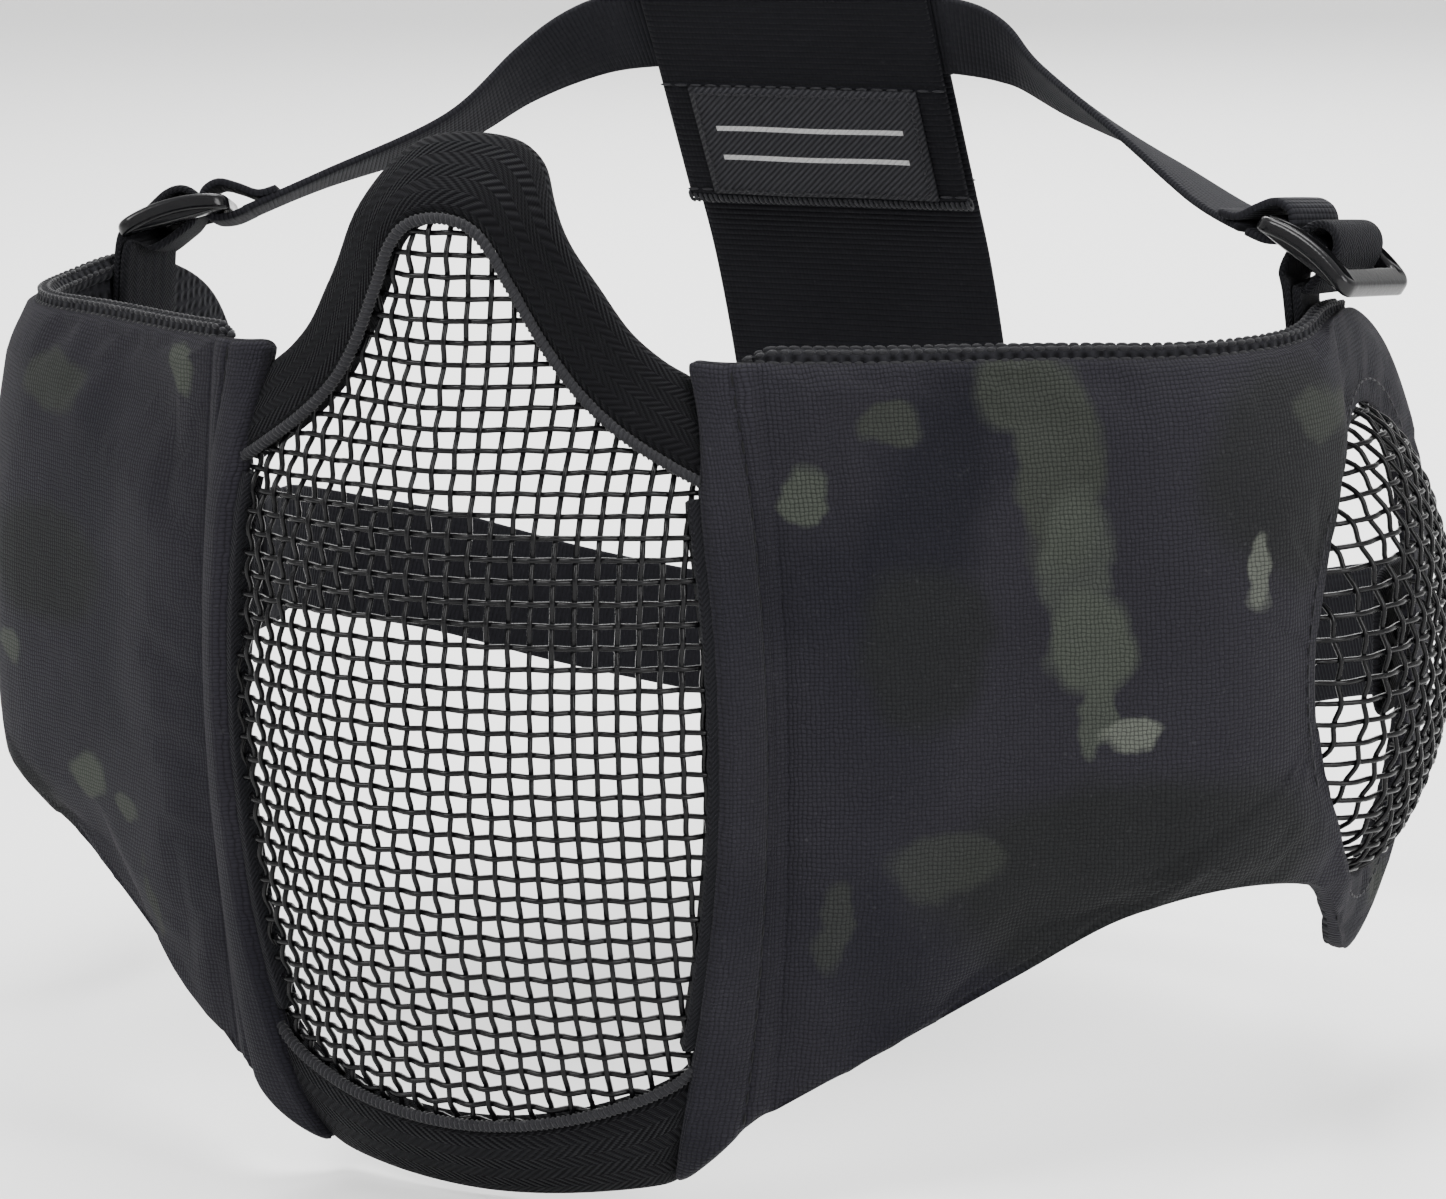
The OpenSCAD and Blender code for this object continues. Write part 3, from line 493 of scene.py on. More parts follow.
def clothLookGroup():
    # shared by every textile: painted shade in the dips of the weave and the holes of the knit (crests a
    # little lighter), faint colour drift and lint
    tree, start, end = newGroup("clothLook", "ShaderNodeTree", [
        ("Colour", "NodeSocketColor", (0.03, 0.03, 0.03, 1)), ("Height", "NodeSocketFloat", 0.5),
        ("Dip Shade", "NodeSocketFloat", 0.45), ("Lint", "NodeSocketFloat", 0.3)],
        [("Colour", "NodeSocketColor"), ("Roughness", "NodeSocketFloat")])
    place = objectPlace(tree)
    drift = addNode(tree, "ShaderNodeTexNoise", {"Vector": place, "Scale": 55.0, "Detail": 3.0})
    specks = addNode(tree, "ShaderNodeTexNoise", {"Vector": place, "Scale": 900.0, "Detail": 2.0})
    lint = addNode(tree, "ShaderNodeMapRange", {"Value": specks.outputs["Fac"], 1: 0.68, 2: 0.8})
    # painted shade: the lower the weave's height, the darker the colour, down by the dip share; the highest
    # crests get a little painted light
    dark = addNode(tree, "ShaderNodeMapRange", {"Value": start.outputs["Height"], 1: 0.0, 2: 0.7,
                   3: mathNode(tree, "SUBTRACT", 1.0, start.outputs["Dip Shade"]), 4: 1.08})
    tone = mathNode(tree, "MULTIPLY", dark.outputs[0], mathNode(tree, "MULTIPLY_ADD", drift.outputs["Fac"],
                                                                0.35, 0.83))
    shaded = addNode(tree, "ShaderNodeMix", {0: 1.0, 6: start.outputs["Colour"], 7: (1, 1, 1, 1)},
                     data_type="RGBA", blend_type="MULTIPLY")
    tree.links.new(tone, shaded.inputs[7])
    speck = addNode(tree, "ShaderNodeMix", {6: shaded.outputs[2], 7: (0.045, 0.045, 0.048, 1)},
                    data_type="RGBA")
    tree.links.new(mathNode(tree, "MULTIPLY", lint.outputs[0], start.outputs["Lint"]), speck.inputs[0])
    tree.links.new(speck.outputs[2], end.inputs["Colour"])
    tree.links.new(mathNode(tree, "MULTIPLY_ADD", drift.outputs["Fac"], -0.12, 0.9), end.inputs["Roughness"])
    return tree


groups = {"weave": plainWeaveGroup(), "herringbone": herringboneGroup(), "rib": ribGroup(),
          "knit": knitGroup(), "cloth": clothLookGroup()}


def useGroup(tree, name, inputs):
    return addNode(tree, "ShaderNodeGroup", inputs, node_tree=groups[name])


def newMaterial(name, base, roughness, specular=0.5):
    mat = bpy.data.materials.new(name)
    mat.use_nodes = True
    mat.diffuse_color = (*base, 1)
    tree = mat.node_tree
    shader = tree.nodes["Principled BSDF"]
    shader.inputs["Base Color"].default_value = (*base, 1)
    shader.inputs["Roughness"].default_value = roughness
    shader.inputs["Specular IOR Level"].default_value = specular
    return mat, tree, shader


def clothMaterial(name, colour, pattern, inputs, depth, sheen=0.03, dipShade=0.45, lint=0.15, specular=0.035):
    mat, tree, shader = newMaterial(name, colour, 0.85, specular)
    where = addNode(tree, "ShaderNodeUVMap", uv_map="surface").outputs[0]
    shape = useGroup(tree, pattern, {"Vector": where, **inputs})
    # the cloth look paints shade into the weave's dips, as strong as the dip share
    look = useGroup(tree, "cloth", {"Colour": (*colour, 1), "Height": shape.outputs["Height"],
                                    "Dip Shade": dipShade, "Lint": lint})
    bump = addNode(tree, "ShaderNodeBump", {"Height": shape.outputs["Height"], "Distance": depth * mm,
                                            "Strength": 1.0})
    joinShader(tree, shader, look.outputs["Colour"], look.outputs["Roughness"], bump.outputs[0])
    shader.inputs["Sheen Weight"].default_value = sheen
    shader.inputs["Sheen Roughness"].default_value = 0.45
    shader.inputs["Sheen Tint"].default_value = (0.75, 0.76, 0.8, 1)
    return mat


# blotches of the printed cloth: middle and half sizes in millimetres, colour number, strength
camo = {
    "ground": (0.0105, 0.0100, 0.0130),
    "colours": [(0.0265, 0.0300, 0.0250), (0.058, 0.063, 0.053), (0.0175, 0.0194, 0.0166),
                (0.0055, 0.0055, 0.008), (0.0072, 0.0078, 0.0076)],
    "blots": [
        ((86.0, 34.0, -26.0), (34.0, 30.0, 16.0), 4, 0.8), ((62.0, 14.5, 10.0), (10.0, 10.0, 13.0), 4, 0.7),
        ((104.0, 52.0, 30.0), (12.0, 22.0, 16.0), 4, 0.7), ((-84.0, 30.0, 10.0), (18.0, 18.0, 10.0), 4, 0.8),
        ((-96.0, 44.0, -30.0), (16.0, 22.0, 10.0), 4, 0.7),
        ((47.9, 5.1, 32.0), (3.1, 4.0, 3.6), 0, 1.0), ((58.3, 13.2, 41.5), (4.5, 5.0, 3.2), 2, 0.9),
        ((79.5, 23.6, 35.0), (5.4, 8.0, 17.0), 2, 1.0), ((73.5, 25.0, 45.0), (7.5, 9.0, 6.5), 2, 1.0),
        ((81.9, 23.8, 19.0), (4.4, 7.0, 13.0), 0, 0.7), ((83.5, 24.6, 9.0), (6.2, 8.0, 7.0), 0, 1.0),
        ((84.1, 25.0, -1.0), (2.2, 5.0, 7.0), 0, 0.9), ((89.0, 27.1, -4.0), (4.4, 5.0, 2.2), 1, 0.8),
        ((104.1, 41.0, 17.0), (1.8, 3.0, 6.0), 1, 0.75), ((66.3, 13.9, -22.0), (8.0, 9.0, 5.0), 2, 0.6),
        ((107.0, 60.0, 38.0), (4.0, 9.0, 4.0), 2, 0.9), ((110.0, 100.0, -44.0), (5.0, 9.0, 6.0), 2, 0.9),
        ((51.2, 6.8, -30.0), (2.5, 3.0, 8.0), 2, 0.6), ((110.0, 130.0, 22.0), (6.0, 5.0, 9.0), 0, 0.7),
        ((-49.8, 5.7, 45.0), (3.8, 4.5, 2.8), 0, 1.0), ((-108.8, 48.7, 9.0), (5.0, 7.5, 15.0), 0, 0.95),
        ((-96.5, 31.6, -5.0), (4.5, 5.0, 3.0), 0, 0.9), ((-77.0, 20.5, -21.5), (5.6, 5.6, 3.6), 0, 1.0),
        ((-66.4, 13.8, -24.0), (4.4, 4.4, 2.3), 0, 0.9), ((-61.9, 13.0, -38.0), (2.2, 2.4, 8.0), 2, 0.9),
        ((-84.0, 28.0, 38.0), (9.0, 9.0, 4.5), 2, 0.8), ((-110.0, 96.0, -42.0), (5.0, 9.0, 6.0), 0, 0.7),
        ((-110.0, 128.0, 24.0), (5.0, 6.0, 8.0), 2, 0.9), ((-106.0, 58.0, 34.0), (4.0, 8.0, 4.0), 2, 0.7),
    ],
}


def camoMaterial(name, settings):
    mat, tree, shader = newMaterial(name, settings["ground"], 0.8, 0.06)
    cloth = addNode(tree, "ShaderNodeUVMap", uv_map="surface").outputs[0]
    place = objectPlace(tree)
    warp = addNode(tree, "ShaderNodeTexNoise", {"Vector": place, "Scale": 110.0, "Detail": 3.0})
    shift = addNode(tree, "ShaderNodeVectorMath", {0: vecNode(tree, "SUBTRACT", warp.outputs["Color"],
                    (0.5, 0.5, 0.5)), "Scale": 0.0075}, operation="SCALE").outputs[0]
    bent = vecNode(tree, "ADD", place, shift)
    broad = noiseNode(tree, vecNode(tree, "MULTIPLY", bent, (1.0, 1.0, 0.55)), 26.0, 1.5)
    share = addNode(tree, "ShaderNodeMapRange", {"Value": broad, 1: 0.53, 2: 0.68}).outputs[0]
    colour = mixColour(tree, share, (*settings["ground"], 1), (*settings["colours"][3], 1))
    for middle, size, number, strength in settings["blots"]:
        near = vecNode(tree, "SUBTRACT", bent, tuple(c * mm for c in middle))
        far = vecNode(tree, "LENGTH", vecNode(tree, "DIVIDE", near, tuple(c * mm for c in size)))
        mask = addNode(tree, "ShaderNodeMapRange",
                       {"Value": far, 1: 1.12, 2: 0.82, 3: 0.0, 4: strength}).outputs[0]
        colour = mixColour(tree, mask, colour, (*settings["colours"][number], 1))
    shape = useGroup(tree, "weave", {"Vector": cloth, "Pitch": 0.62})
    # strong painted shade in the weave's dips of the printed cloth
    look = useGroup(tree, "cloth", {"Colour": colour, "Height": shape.outputs["Height"], "Dip Shade": 0.78,
                                    "Lint": 0.2})
    soft = bumpFrom(tree, noiseNode(tree, place, 38.0, 2.0), 0.0012)
    bump = bumpFrom(tree, shape.outputs["Height"], 0.00016, Normal=soft)
    joinShader(tree, shader, look.outputs["Colour"], look.outputs["Roughness"], bump)
    shader.inputs["Sheen Weight"].default_value = 0.02
    return mat


def wireMaterial(name):
    mat, tree, shader = newMaterial(name, (0.0025, 0.0025, 0.003), 0.22, 0.13)
    place = objectPlace(tree)
    flow = noiseNode(tree, place, 400.0, 3.0)
    tone = mixColour(tree, flow, (0.0015, 0.0015, 0.0018, 1), (0.004, 0.004, 0.0044, 1))
    joinShader(tree, shader, tone, mathNode(tree, "MULTIPLY_ADD", flow, 0.22, 0.14),
               bumpFrom(tree, flow, 0.00005))
    return mat


def plasticMaterial(name):
    mat, tree, shader = newMaterial(name, (0.004, 0.004, 0.0045), 0.2, 0.2)
    place = objectPlace(tree)
    grain = noiseNode(tree, place, 1400.0, 2.0)
    wear = noiseNode(tree, place, 160.0, 4.0)
    tone = mixColour(tree, wear, (0.003, 0.003, 0.0034, 1), (0.005, 0.005, 0.0056, 1))
    joinShader(tree, shader, tone, mathNode(tree, "MULTIPLY_ADD", wear, 0.12, 0.14),
               bumpFrom(tree, grain, 0.00003))
    return mat


def labelMaterial(name, half):
    # dark twill with two plain light lines, no lettering
    mat, tree, shader = newMaterial(name, (0.03, 0.03, 0.032), 0.75, 0.12)
    where = addNode(tree, "ShaderNodeUVMap", uv_map="surface").outputs[0]
    split = addNode(tree, "ShaderNodeSeparateXYZ", {0: where})
    slant = mathNode(tree, "MULTIPLY", mathNode(tree, "ADD", split.outputs[0], split.outputs[1]),
                     2 * math.pi / 1.1)
    twill = mathNode(tree, "MULTIPLY_ADD", mathNode(tree, "SINE", slant), 0.5, 0.5)
    offset = mathNode(tree, "ABSOLUTE", mathNode(tree, "SUBTRACT", mathNode(tree, "ABSOLUTE",
                                                                            split.outputs[1]), half))
    inside = mathNode(tree, "LESS_THAN", mathNode(tree, "ABSOLUTE", split.outputs[0]), 16.5)
    line = mathNode(tree, "MULTIPLY", mathNode(tree, "LESS_THAN", offset, 0.5), inside)
    ground = mixColour(tree, twill, (0.006, 0.006, 0.0075, 1), (0.022, 0.022, 0.025, 1))
    both = mixColour(tree, line, ground, (0.3, 0.3, 0.3, 1))
    joinShader(tree, shader, both, mathNode(tree, "MULTIPLY_ADD", twill, -0.2, 0.85),
               bumpFrom(tree, twill, 0.00018))
    return mat


def threadMaterial(name, colour):
    mat, tree, shader = newMaterial(name, colour, 0.7, 0.12)
    place = objectPlace(tree)
    twist = noiseNode(tree, place, 2500.0, 2.0)
    dark, light = (tuple(c * share for c in colour) + (1,) for share in (0.6, 1.5))
    joinShader(tree, shader, mixColour(tree, twist, dark, light), None, bumpFrom(tree, twist, 0.0001))
    shader.inputs["Sheen Weight"].default_value = 0.05
    return mat


wirePaint = wireMaterial("wirePaint")
slidePlastic = plasticMaterial("slidePlastic")
bindingTape = clothMaterial("bindingTape", (0.0045, 0.0045, 0.0053), "herringbone",
                            {"Column": 2.3, "Pitch": 1.35}, 0.6,
                            dipShade=0.75)
pipingCord = threadMaterial("pipingCord", (0.009, 0.009, 0.0105))
seamThread = threadMaterial("seamThread", (0.012, 0.012, 0.014))
darkThread = threadMaterial("darkThread", (0.003, 0.003, 0.0035))
knitThread = threadMaterial("knitThread", (0.007, 0.007, 0.0082))
camoCloth = camoMaterial("camoCloth", camo)
liningKnit = clothMaterial("liningKnit", (0.009, 0.009, 0.0105), "knit", {"Pitch": 2.0}, 0.45, dipShade=0.7)
webbing = clothMaterial("webbing", (0.0075, 0.0075, 0.0088), "herringbone", {"Column": 1.3, "Pitch": 0.8},
                        0.22, dipShade=0.6)
elasticStrap = clothMaterial("elasticStrap", (0.0085, 0.0085, 0.0102), "rib", {"Rib": 0.75, "Line": 1.2}, 0.2)
elasticBand = clothMaterial("elasticBand", (0.0052, 0.0052, 0.0064), "rib", {"Rib": 1.1, "Line": 0.7,
                            "Line Depth": 0.18}, 0.3, dipShade=0.6)
labelTwill = labelMaterial("labelTwill", 3.0)
print("materials built")

guard = {"halfW": 38.0, "up": 81.0, "down": 73.0, "cheekR": 48.0, "noseW": 13.0, "noseRise": 5.0,
         "bowRate": 0.0026, "bowMid": -2.0, "meshUnder": 1.2, "meshT": 1.8}
centreLine = [(-75, 2.5), (-0.83 * 73, -8), (-0.62 * 73, -13), (-0.4 * 73, -16), (0, -18), (0.37 * 81, -15.5),
              (0.62 * 81, -11), (0.74 * 81, -10), (0.87 * 81, -8.5), (81, 3)]


def guardY(x, z):
    rise = smooth((z - 0.3 * guard["up"]) / (0.3 * guard["up"]))
    return (curveY(z, centreLine) + x * x / (2 * guard["cheekR"])
            + guard["noseRise"] * rise * (1 - math.exp(-(x / guard["noseW"]) ** 2)))


def guardN(x, z):
    return unit([guardY(x + 0.5, z) - guardY(x - 0.5, z), -1, guardY(x, z + 0.5) - guardY(x, z - 0.5)])


def guardP(x, z, off=0.0):
    return np.array([x, guardY(x, z), z]) + off * guardN(x, z)


def seamX(z):
    return guard["halfW"] - guard["bowRate"] * (z - guard["bowMid"]) ** 2


def outline(points, endAt):
    return [np.array(p, float) for p in points] + [np.array([seamX(endAt[0]) + guard["meshUnder"], endAt[1]])]


noseOuter = outline([(0, 81), (6.5, 80.1), (11, 77.2), (14.2, 72.2), (17.5, 65.7), (21, 59.7), (24.5, 54.2),
                     (28.5, 50.2), (32, 47.7)], (46, 46.2))
noseInner = outline([(0, 71), (4.5, 70), (7.5, 67), (9.8, 62.2), (12.3, 57.2), (15.3, 51.7), (19.2, 46.2),
                     (24.5, 41.2), (31, 36.7)], (34, 33.7))
chinOuter = outline([(0, -73), (8.5, -72.7), (17, -72), (24.5, -71)], (-69, -69.4))
chinInner = outline([(0, -60.5), (10, -59.8), (20, -57.6), (29, -54)], (-50, -50))


def mirrored(points):
    return [np.array([-p[0], p[1]]) for p in points[:0:-1]] + points


wires = {"radius": 0.43, "pitch": 3.06, "crimp": 0.4, "perCross": 4, "wobble": 0.28, "share": 0.7,
         "pull": 0.02, "lean": 1.6, "leanSpan": 42, "leanBack": 1.4, "sag": 0.9}


def leaning(x, z):
    # upright wires lean a little apart towards the mouth
    pulled = x * (1 - wires["pull"] * (z / 70) ** 2)
    return pulled - wires["lean"] * math.cos(z / wires["leanSpan"]) + wires["leanBack"]


def insideMesh(x, z, edges):
    if abs(x) > seamX(z) + 1.0:
        return False
    return curveY(x, edges[1]) < z < curveY(x, edges[0])


def arcTable(func, low, high, step=0.25):
    xs = np.arange(low, high + step, step)
    pts = [func(x) for x in xs]
    cum = runLength(pts)
    return xs, cum - np.interp(0, xs, cum)


def faceMesh():
    share = wires["share"]
    noseEdge = [tuple(lerp(a, b, share)) for a, b in zip(mirrored(noseInner), mirrored(noseOuter))]
    chinEdge = [tuple(lerp(a, b, share)) for a, b in zip(mirrored(chinInner), mirrored(chinOuter))]
    edges = (noseEdge, chinEdge)
    xs, sx = arcTable(lambda x: guardP(x, 0), -40, 40)
    zs, sz = arcTable(lambda z: guardP(12, z), -72, 80)
    nx, nz, per = 14, 27, wires["perCross"]
    colX = [float(np.interp(k * wires["pitch"] / per, sx, xs)) for k in range(-nx * per - per,
                                                                              nx * per + per + 1)]
    rowZ = [float(np.interp(k * wires["pitch"] / per, sz, zs)) for k in range(-nz * per, nz * per + 1)]
    firstCol, firstRow = -nx * per - per, -nz * per
    lines = []

    def crimp(step, other):
        return wires["crimp"] * math.cos(math.pi * (step / per + other))

    def keepRuns(points):
        # the stretches of one wire that lie inside the guard's edge
        line = []
        for x, z, off in points:
            if insideMesh(x, z, edges):
                line.append(guardP(x, z, off))
            elif line:
                lines.append(line)
                line = []
        lines.append(line)

    for i in range(-nx - 1, nx + 2):
        keepRuns([(leaning(colX[i * per - firstCol], z), z, crimp(k + firstRow, i))
                  for k, z in enumerate(rowZ)])
    for j in range(-nz, nz + 1):
        row = []
        for k, x in enumerate(colX):
            z = rowZ[j * per - firstRow] - wires["sag"] * (x / guard["halfW"]) ** 2
            row.append((leaning(x, z), z, crimp(k + firstCol, j + 1)))
        keepRuns(row)
    obj = lineObject("faceWires", [line for line in lines if len(line) > 3])
    bakeNodes(obj, wireNodes, {"Radius": wires["radius"] * mm, "Sides": 6, "Wobble": wires["wobble"] * mm,
                               "Seed": 3.0, "Material": wirePaint})
    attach(obj, "face_guard")
    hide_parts("face_mesh")
    print("face wires", len(obj.data.polygons))


faceMesh()

tape = {"thickness": 1.0, "swell": 0.5, "inside": 0.55, "step": 1.2}


def foldedTape(name, inner, outer, node, settings, material):
    half = guard["meshT"] / 2
    lineIn, dist = evenPath(inner, settings["step"])
    us = np.linspace(0, len(outer) - 1, len(lineIn))
    lineOut = [splinePoint(outer, u) for u in us]
    section = [(0.0, half * 0.4), (0.0, half + settings["thickness"] * 0.75),
               (0.06, half + settings["thickness"])]
    section += [(f, half + settings["thickness"] + settings["swell"] * math.sin(math.pi * f) ** 0.7)
                for f in (0.18, 0.34, 0.5, 0.66, 0.8)]
    section += [(0.91, half + settings["thickness"] * 0.95), (0.98, half + 0.35), (1.02, 0.0)]
    section += [(f, -h) for f, h in section[-2:1:-1]] + [(0.0, -half - settings["thickness"] * 0.75),
                                                         (0.0, -half * 0.4)]
    rings = []
    for a, b in zip(lineIn, lineOut):
        ring = []
        for f, h in section:
            q = lerp(a, b, f)
            ring.append(guardP(q[0], q[1], h))
        rings.append(ring)
    v = [0.0]
    mid = rings[len(rings) // 2]
    for a, b in zip(mid, mid[1:] + mid[:1]):
        v.append(v[-1] + float(np.linalg.norm(b - a)))
    obj = gridObject(name, rings, material, dist, v)
    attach(obj, "face_guard")
    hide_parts(node)
    return obj


def whippedCord(name, inner, outer, node):
    radius, gap = 0.9, 0.35
    side = [a + unit(a - b) * (radius + gap - 0.45) for a, b in zip(inner, outer)]
    line, _ = evenPath(mirrored(side), 1.0)
    line = [q for q in line if abs(q[0]) < seamX(q[1]) + 0.6]
    pts = [guardP(q[0], q[1], guard["meshT"] / 2 + radius - 0.1) for q in line]
    core = lineObject(name + "Core", [pts])
    bakeNodes(core, wireNodes, {"Radius": 0.72 * mm, "Sides": 8, "Wobble": 0.0, "Material": pipingCord})
    wraps = lineObject(name + "Wraps", [pts])
    bakeNodes(wraps, whipNodes, {"Pitch": 0.78 * mm, "Radius": 0.68 * mm, "Thread": 0.27 * mm, "Lean": 0.35,
                                 "Material": pipingCord})
    obj = joinObjects(name, [core, wraps])
    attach(obj, "face_guard")
    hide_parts(node)


foldedTape("noseBinding", mirrored(noseInner), mirrored(noseOuter), "nose_binding", tape, bindingTape)
foldedTape("chinBinding", mirrored(chinInner), mirrored(chinOuter), "chin_binding", tape, bindingTape)
whippedCord("nosePiping", noseInner, noseOuter, "nose_piping")
whippedCord("chinPiping", chinInner, chinOuter, "chin_piping")
edgeTape = {"thickness": 0.55, "swell": 0.15, "step": 1.5, "width": 3.4, "over": 0.8}
for side, word in bothSides:
    zList = np.linspace(-50 + 2.1, 33.7 - 2.1, 12)
    outer = [np.array([side * (seamX(z) + guard["meshUnder"] + edgeTape["over"]), z]) for z in zList]
    inner = [np.array([p[0] - side * edgeTape["width"], p[1]]) for p in outer]
    foldedTape("edgeTape" + word.capitalize(), inner, outer, "edge_tape_" + word, edgeTape, webbing)
print("bindings and piping made")

wing = {"cheekL": 54.0, "bendL": 42.0, "cheekAngle": 54.0, "cupAngle": -4.0, "foldX": 41.5, "foldY": 3.0,
        "top": 50.5, "low": 58.5, "earZ": -2.0, "earA": 30.0, "earB": 36.0, "domeH": 11.0, "domePower": 0.6,
        "foldBow": 3.4, "bowLevel": 0.35, "gap": 1.4, "swell": 7.0, "swellFrom": 25, "swellOver": 60,
        "bellyMid": -5, "bellyHalf": 56}
earS = wing["cheekL"] + wing["bendL"] + 16
lobeS = earS + 5
cupEnd = earS + wing["earA"] + 11


def along(deg):
    return np.array([math.sin(math.radians(deg)), math.cos(math.radians(deg))])


bendStart = np.array([wing["foldX"], wing["foldY"]]) + wing["cheekL"] * along(wing["cheekAngle"])
bendTurn = math.radians(wing["cupAngle"] - wing["cheekAngle"])


def bendAt(a):
    h0, h = math.radians(wing["cheekAngle"]), math.radians(lerp(wing["cheekAngle"], wing["cupAngle"],
                                                                a / wing["bendL"]))
    return bendStart + wing["bendL"] / bendTurn * np.array([math.cos(h0) - math.cos(h),
                                                            math.sin(h) - math.sin(h0)])


def planPoint(s):
    if s < wing["cheekL"]:
        return np.array([wing["foldX"], wing["foldY"]]) + s * along(wing["cheekAngle"])
    if s < wing["cheekL"] + wing["bendL"]:
        return bendAt(s - wing["cheekL"])
    return bendAt(wing["bendL"]) + (s - wing["cheekL"] - wing["bendL"]) * along(wing["cupAngle"])


def heading(s):
    return lerp(wing["cheekAngle"], wing["cupAngle"], min(max((s - wing["cheekL"]) / wing["bendL"], 0), 1))


def belly(z):
    return max(1 - ((z - wing["bellyMid"]) / wing["bellyHalf"]) ** 2, 0)


def wingBase(s, z):
    t = smooth((s - wing["swellFrom"]) / wing["swellOver"])
    h = math.radians(heading(s))
    q = planPoint(s) + wing["swell"] * t * belly(z) * np.array([math.cos(h), -math.sin(h)])
    return np.array([q[0] + wing["foldBow"] * (1 - t) * (belly(z) - wing["bowLevel"]), q[1], z])


def wingN(s, z):
    return unit(np.cross(wingBase(s + 0.5, z) - wingBase(s - 0.5, z),
                         wingBase(s, z + 0.5) - wingBase(s, z - 0.5)))


def wingP(s, z, off=0.0):
    return wingBase(s, z) + off * wingN(s, z)


def flip(p, side):
    return np.array([p[0] * side, p[1], p[2]])


topZ, lowZ = wing["top"], wing["low"]
wingCurve = [(wing["gap"] / 2, topZ), (20, topZ - 1), (45, topZ - 1.8), (68, topZ - 2.8), (88, topZ - 3.2),
             (lobeS - 13, topZ - 2.2), (lobeS + 3, topZ - 3.5), (lobeS + 19, 39), (cupEnd - 6, 24), (cupEnd,
                                                                                                     4),
             (cupEnd - 1, -16), (cupEnd - 9, -35), (lobeS + 14, -46.5), (lobeS + 1, -50.5), (lobeS - 11, -49),
             (lobeS - 22, -41), (lobeS - 33, -33), (68, -30), (52, -33), (36, -41), (18,
                                                                                     -50), (wing["gap"] / 2,
                                                                                            -lowZ)]


def rimFacing(p, grow=0.0):
    ds, dz = p[0] - earS, p[1] - wing["earZ"]
    a = math.atan2(dz / 90, ds / wing["earA"]) if ds < 0 else math.atan2(dz / wing["earB"], ds / wing["earA"])
    return np.array([earS + (wing["earA"] + grow) * math.cos(a),
                     wing["earZ"] + (wing["earB"] + grow) * math.sin(a)])


skin = {"across": 26, "step": 2.4, "front": 3.25, "back": 3.55, "edgeFront": 1.35, "edgeBack": 1.6,
        "rise": 10.0, "cap": 1.6, "pressure": 3.0, "shrink": -0.012, "frames": 20,
        "cloth": {"quality": 6, "mass": 0.2, "tension_stiffness": 12, "compression_stiffness": 12,
                  "shear_stiffness": 4, "bending_stiffness": 0.6}}


def skinGrid(side):
    line, _ = evenPath([np.array(p) for p in wingCurve], skin["step"])
    foldLine = [np.array([wing["gap"] / 2, z]) for z in np.arange(-lowZ + skin["step"], topZ - 1,
                                                                  skin["step"])]
    edge = line + foldLine
    n = skin["across"]
    fs = [0.5 - 0.5 * math.cos(math.pi * k / n) for k in range(n + 1)]
    fs = [lerp(k / n, f, 0.55) for k, f in enumerate(fs)]
    rings, uv, pins = [], [], []
    for k, p in enumerate(edge):
        rim = rimFacing(p, 0.0)
        length = float(np.linalg.norm(p - rim))
        ring, uvRing = [], []

        def thick(f, full, thin):
            d = min(f, 1 - f) * length
            rise = smooth(d / skin["rise"])
            rounded = math.sqrt(max(1 - (1 - min(d / 1.3, 1)) ** 2, 0))
            return (thin + (full - thin) * rise) * (0.35 + 0.65 * rounded)

        for j in range(n + 1):
            q = lerp(rim, p, fs[j])
            ring.append(flip(wingP(q[0], q[1], thick(fs[j], skin["front"], skin["edgeFront"])), side))
            uvRing.append((float(q[0]), float(q[1])))
        for j in range(n, -1, -1):
            q = lerp(rim, p, fs[j])
            ring.append(flip(wingP(q[0], q[1], -thick(fs[j], skin["back"], skin["edgeBack"])), side))
            uvRing.append((float(q[0]), float(q[1])))
        rings.append(ring)
        uv.append(uvRing)
    cols = 2 * n + 2
    for k in range(len(rings)):
        for j in (0, 1, n - 1, n, n + 1, n + 2, cols - 2, cols - 1):
            pins.append(k * cols + j)
    return rings, uv, pins, n


def puffUp(obj, pins, settings):
    rest = np.array([v.co for v in obj.data.vertices])
    group = obj.vertex_groups.new(name="held")
    group.add(pins, 1.0, "REPLACE")
    mod = obj.modifiers.new("puff", "CLOTH")
    cloth = mod.settings
    for key, value in settings["cloth"].items():
        setattr(cloth, key, value)
    cloth.vertex_group_mass = "held"
    cloth.use_pressure = True
    cloth.uniform_pressure_force = settings["pressure"]
    cloth.shrink_min = settings["shrink"]
    cloth.effector_weights.gravity = 0
    mod.collision_settings.use_collision = False
    mod.point_cache.frame_start = 1
    mod.point_cache.frame_end = settings["frames"]
    for f in range(1, settings["frames"] + 1):
        scene.frame_set(f)
    graph = bpy.context.evaluated_depsgraph_get()
    done = obj.evaluated_get(graph).to_mesh()
    new = np.array([v.co for v in done.vertices])
    obj.evaluated_get(graph).to_mesh_clear()
    move = new - rest
    length = np.linalg.norm(move, axis=1, keepdims=True)
    move *= np.minimum(1.0, settings["cap"] * mm / np.maximum(length, 1e-9))
    obj.modifiers.remove(mod)
    obj.vertex_groups.clear()
    scene.frame_set(1)
    for v, p in zip(obj.data.vertices, rest + move):
        v.co = p
    print(obj.name, "puffed by up to", round(float(np.abs(move).max()) * 1000, 2), "mm")


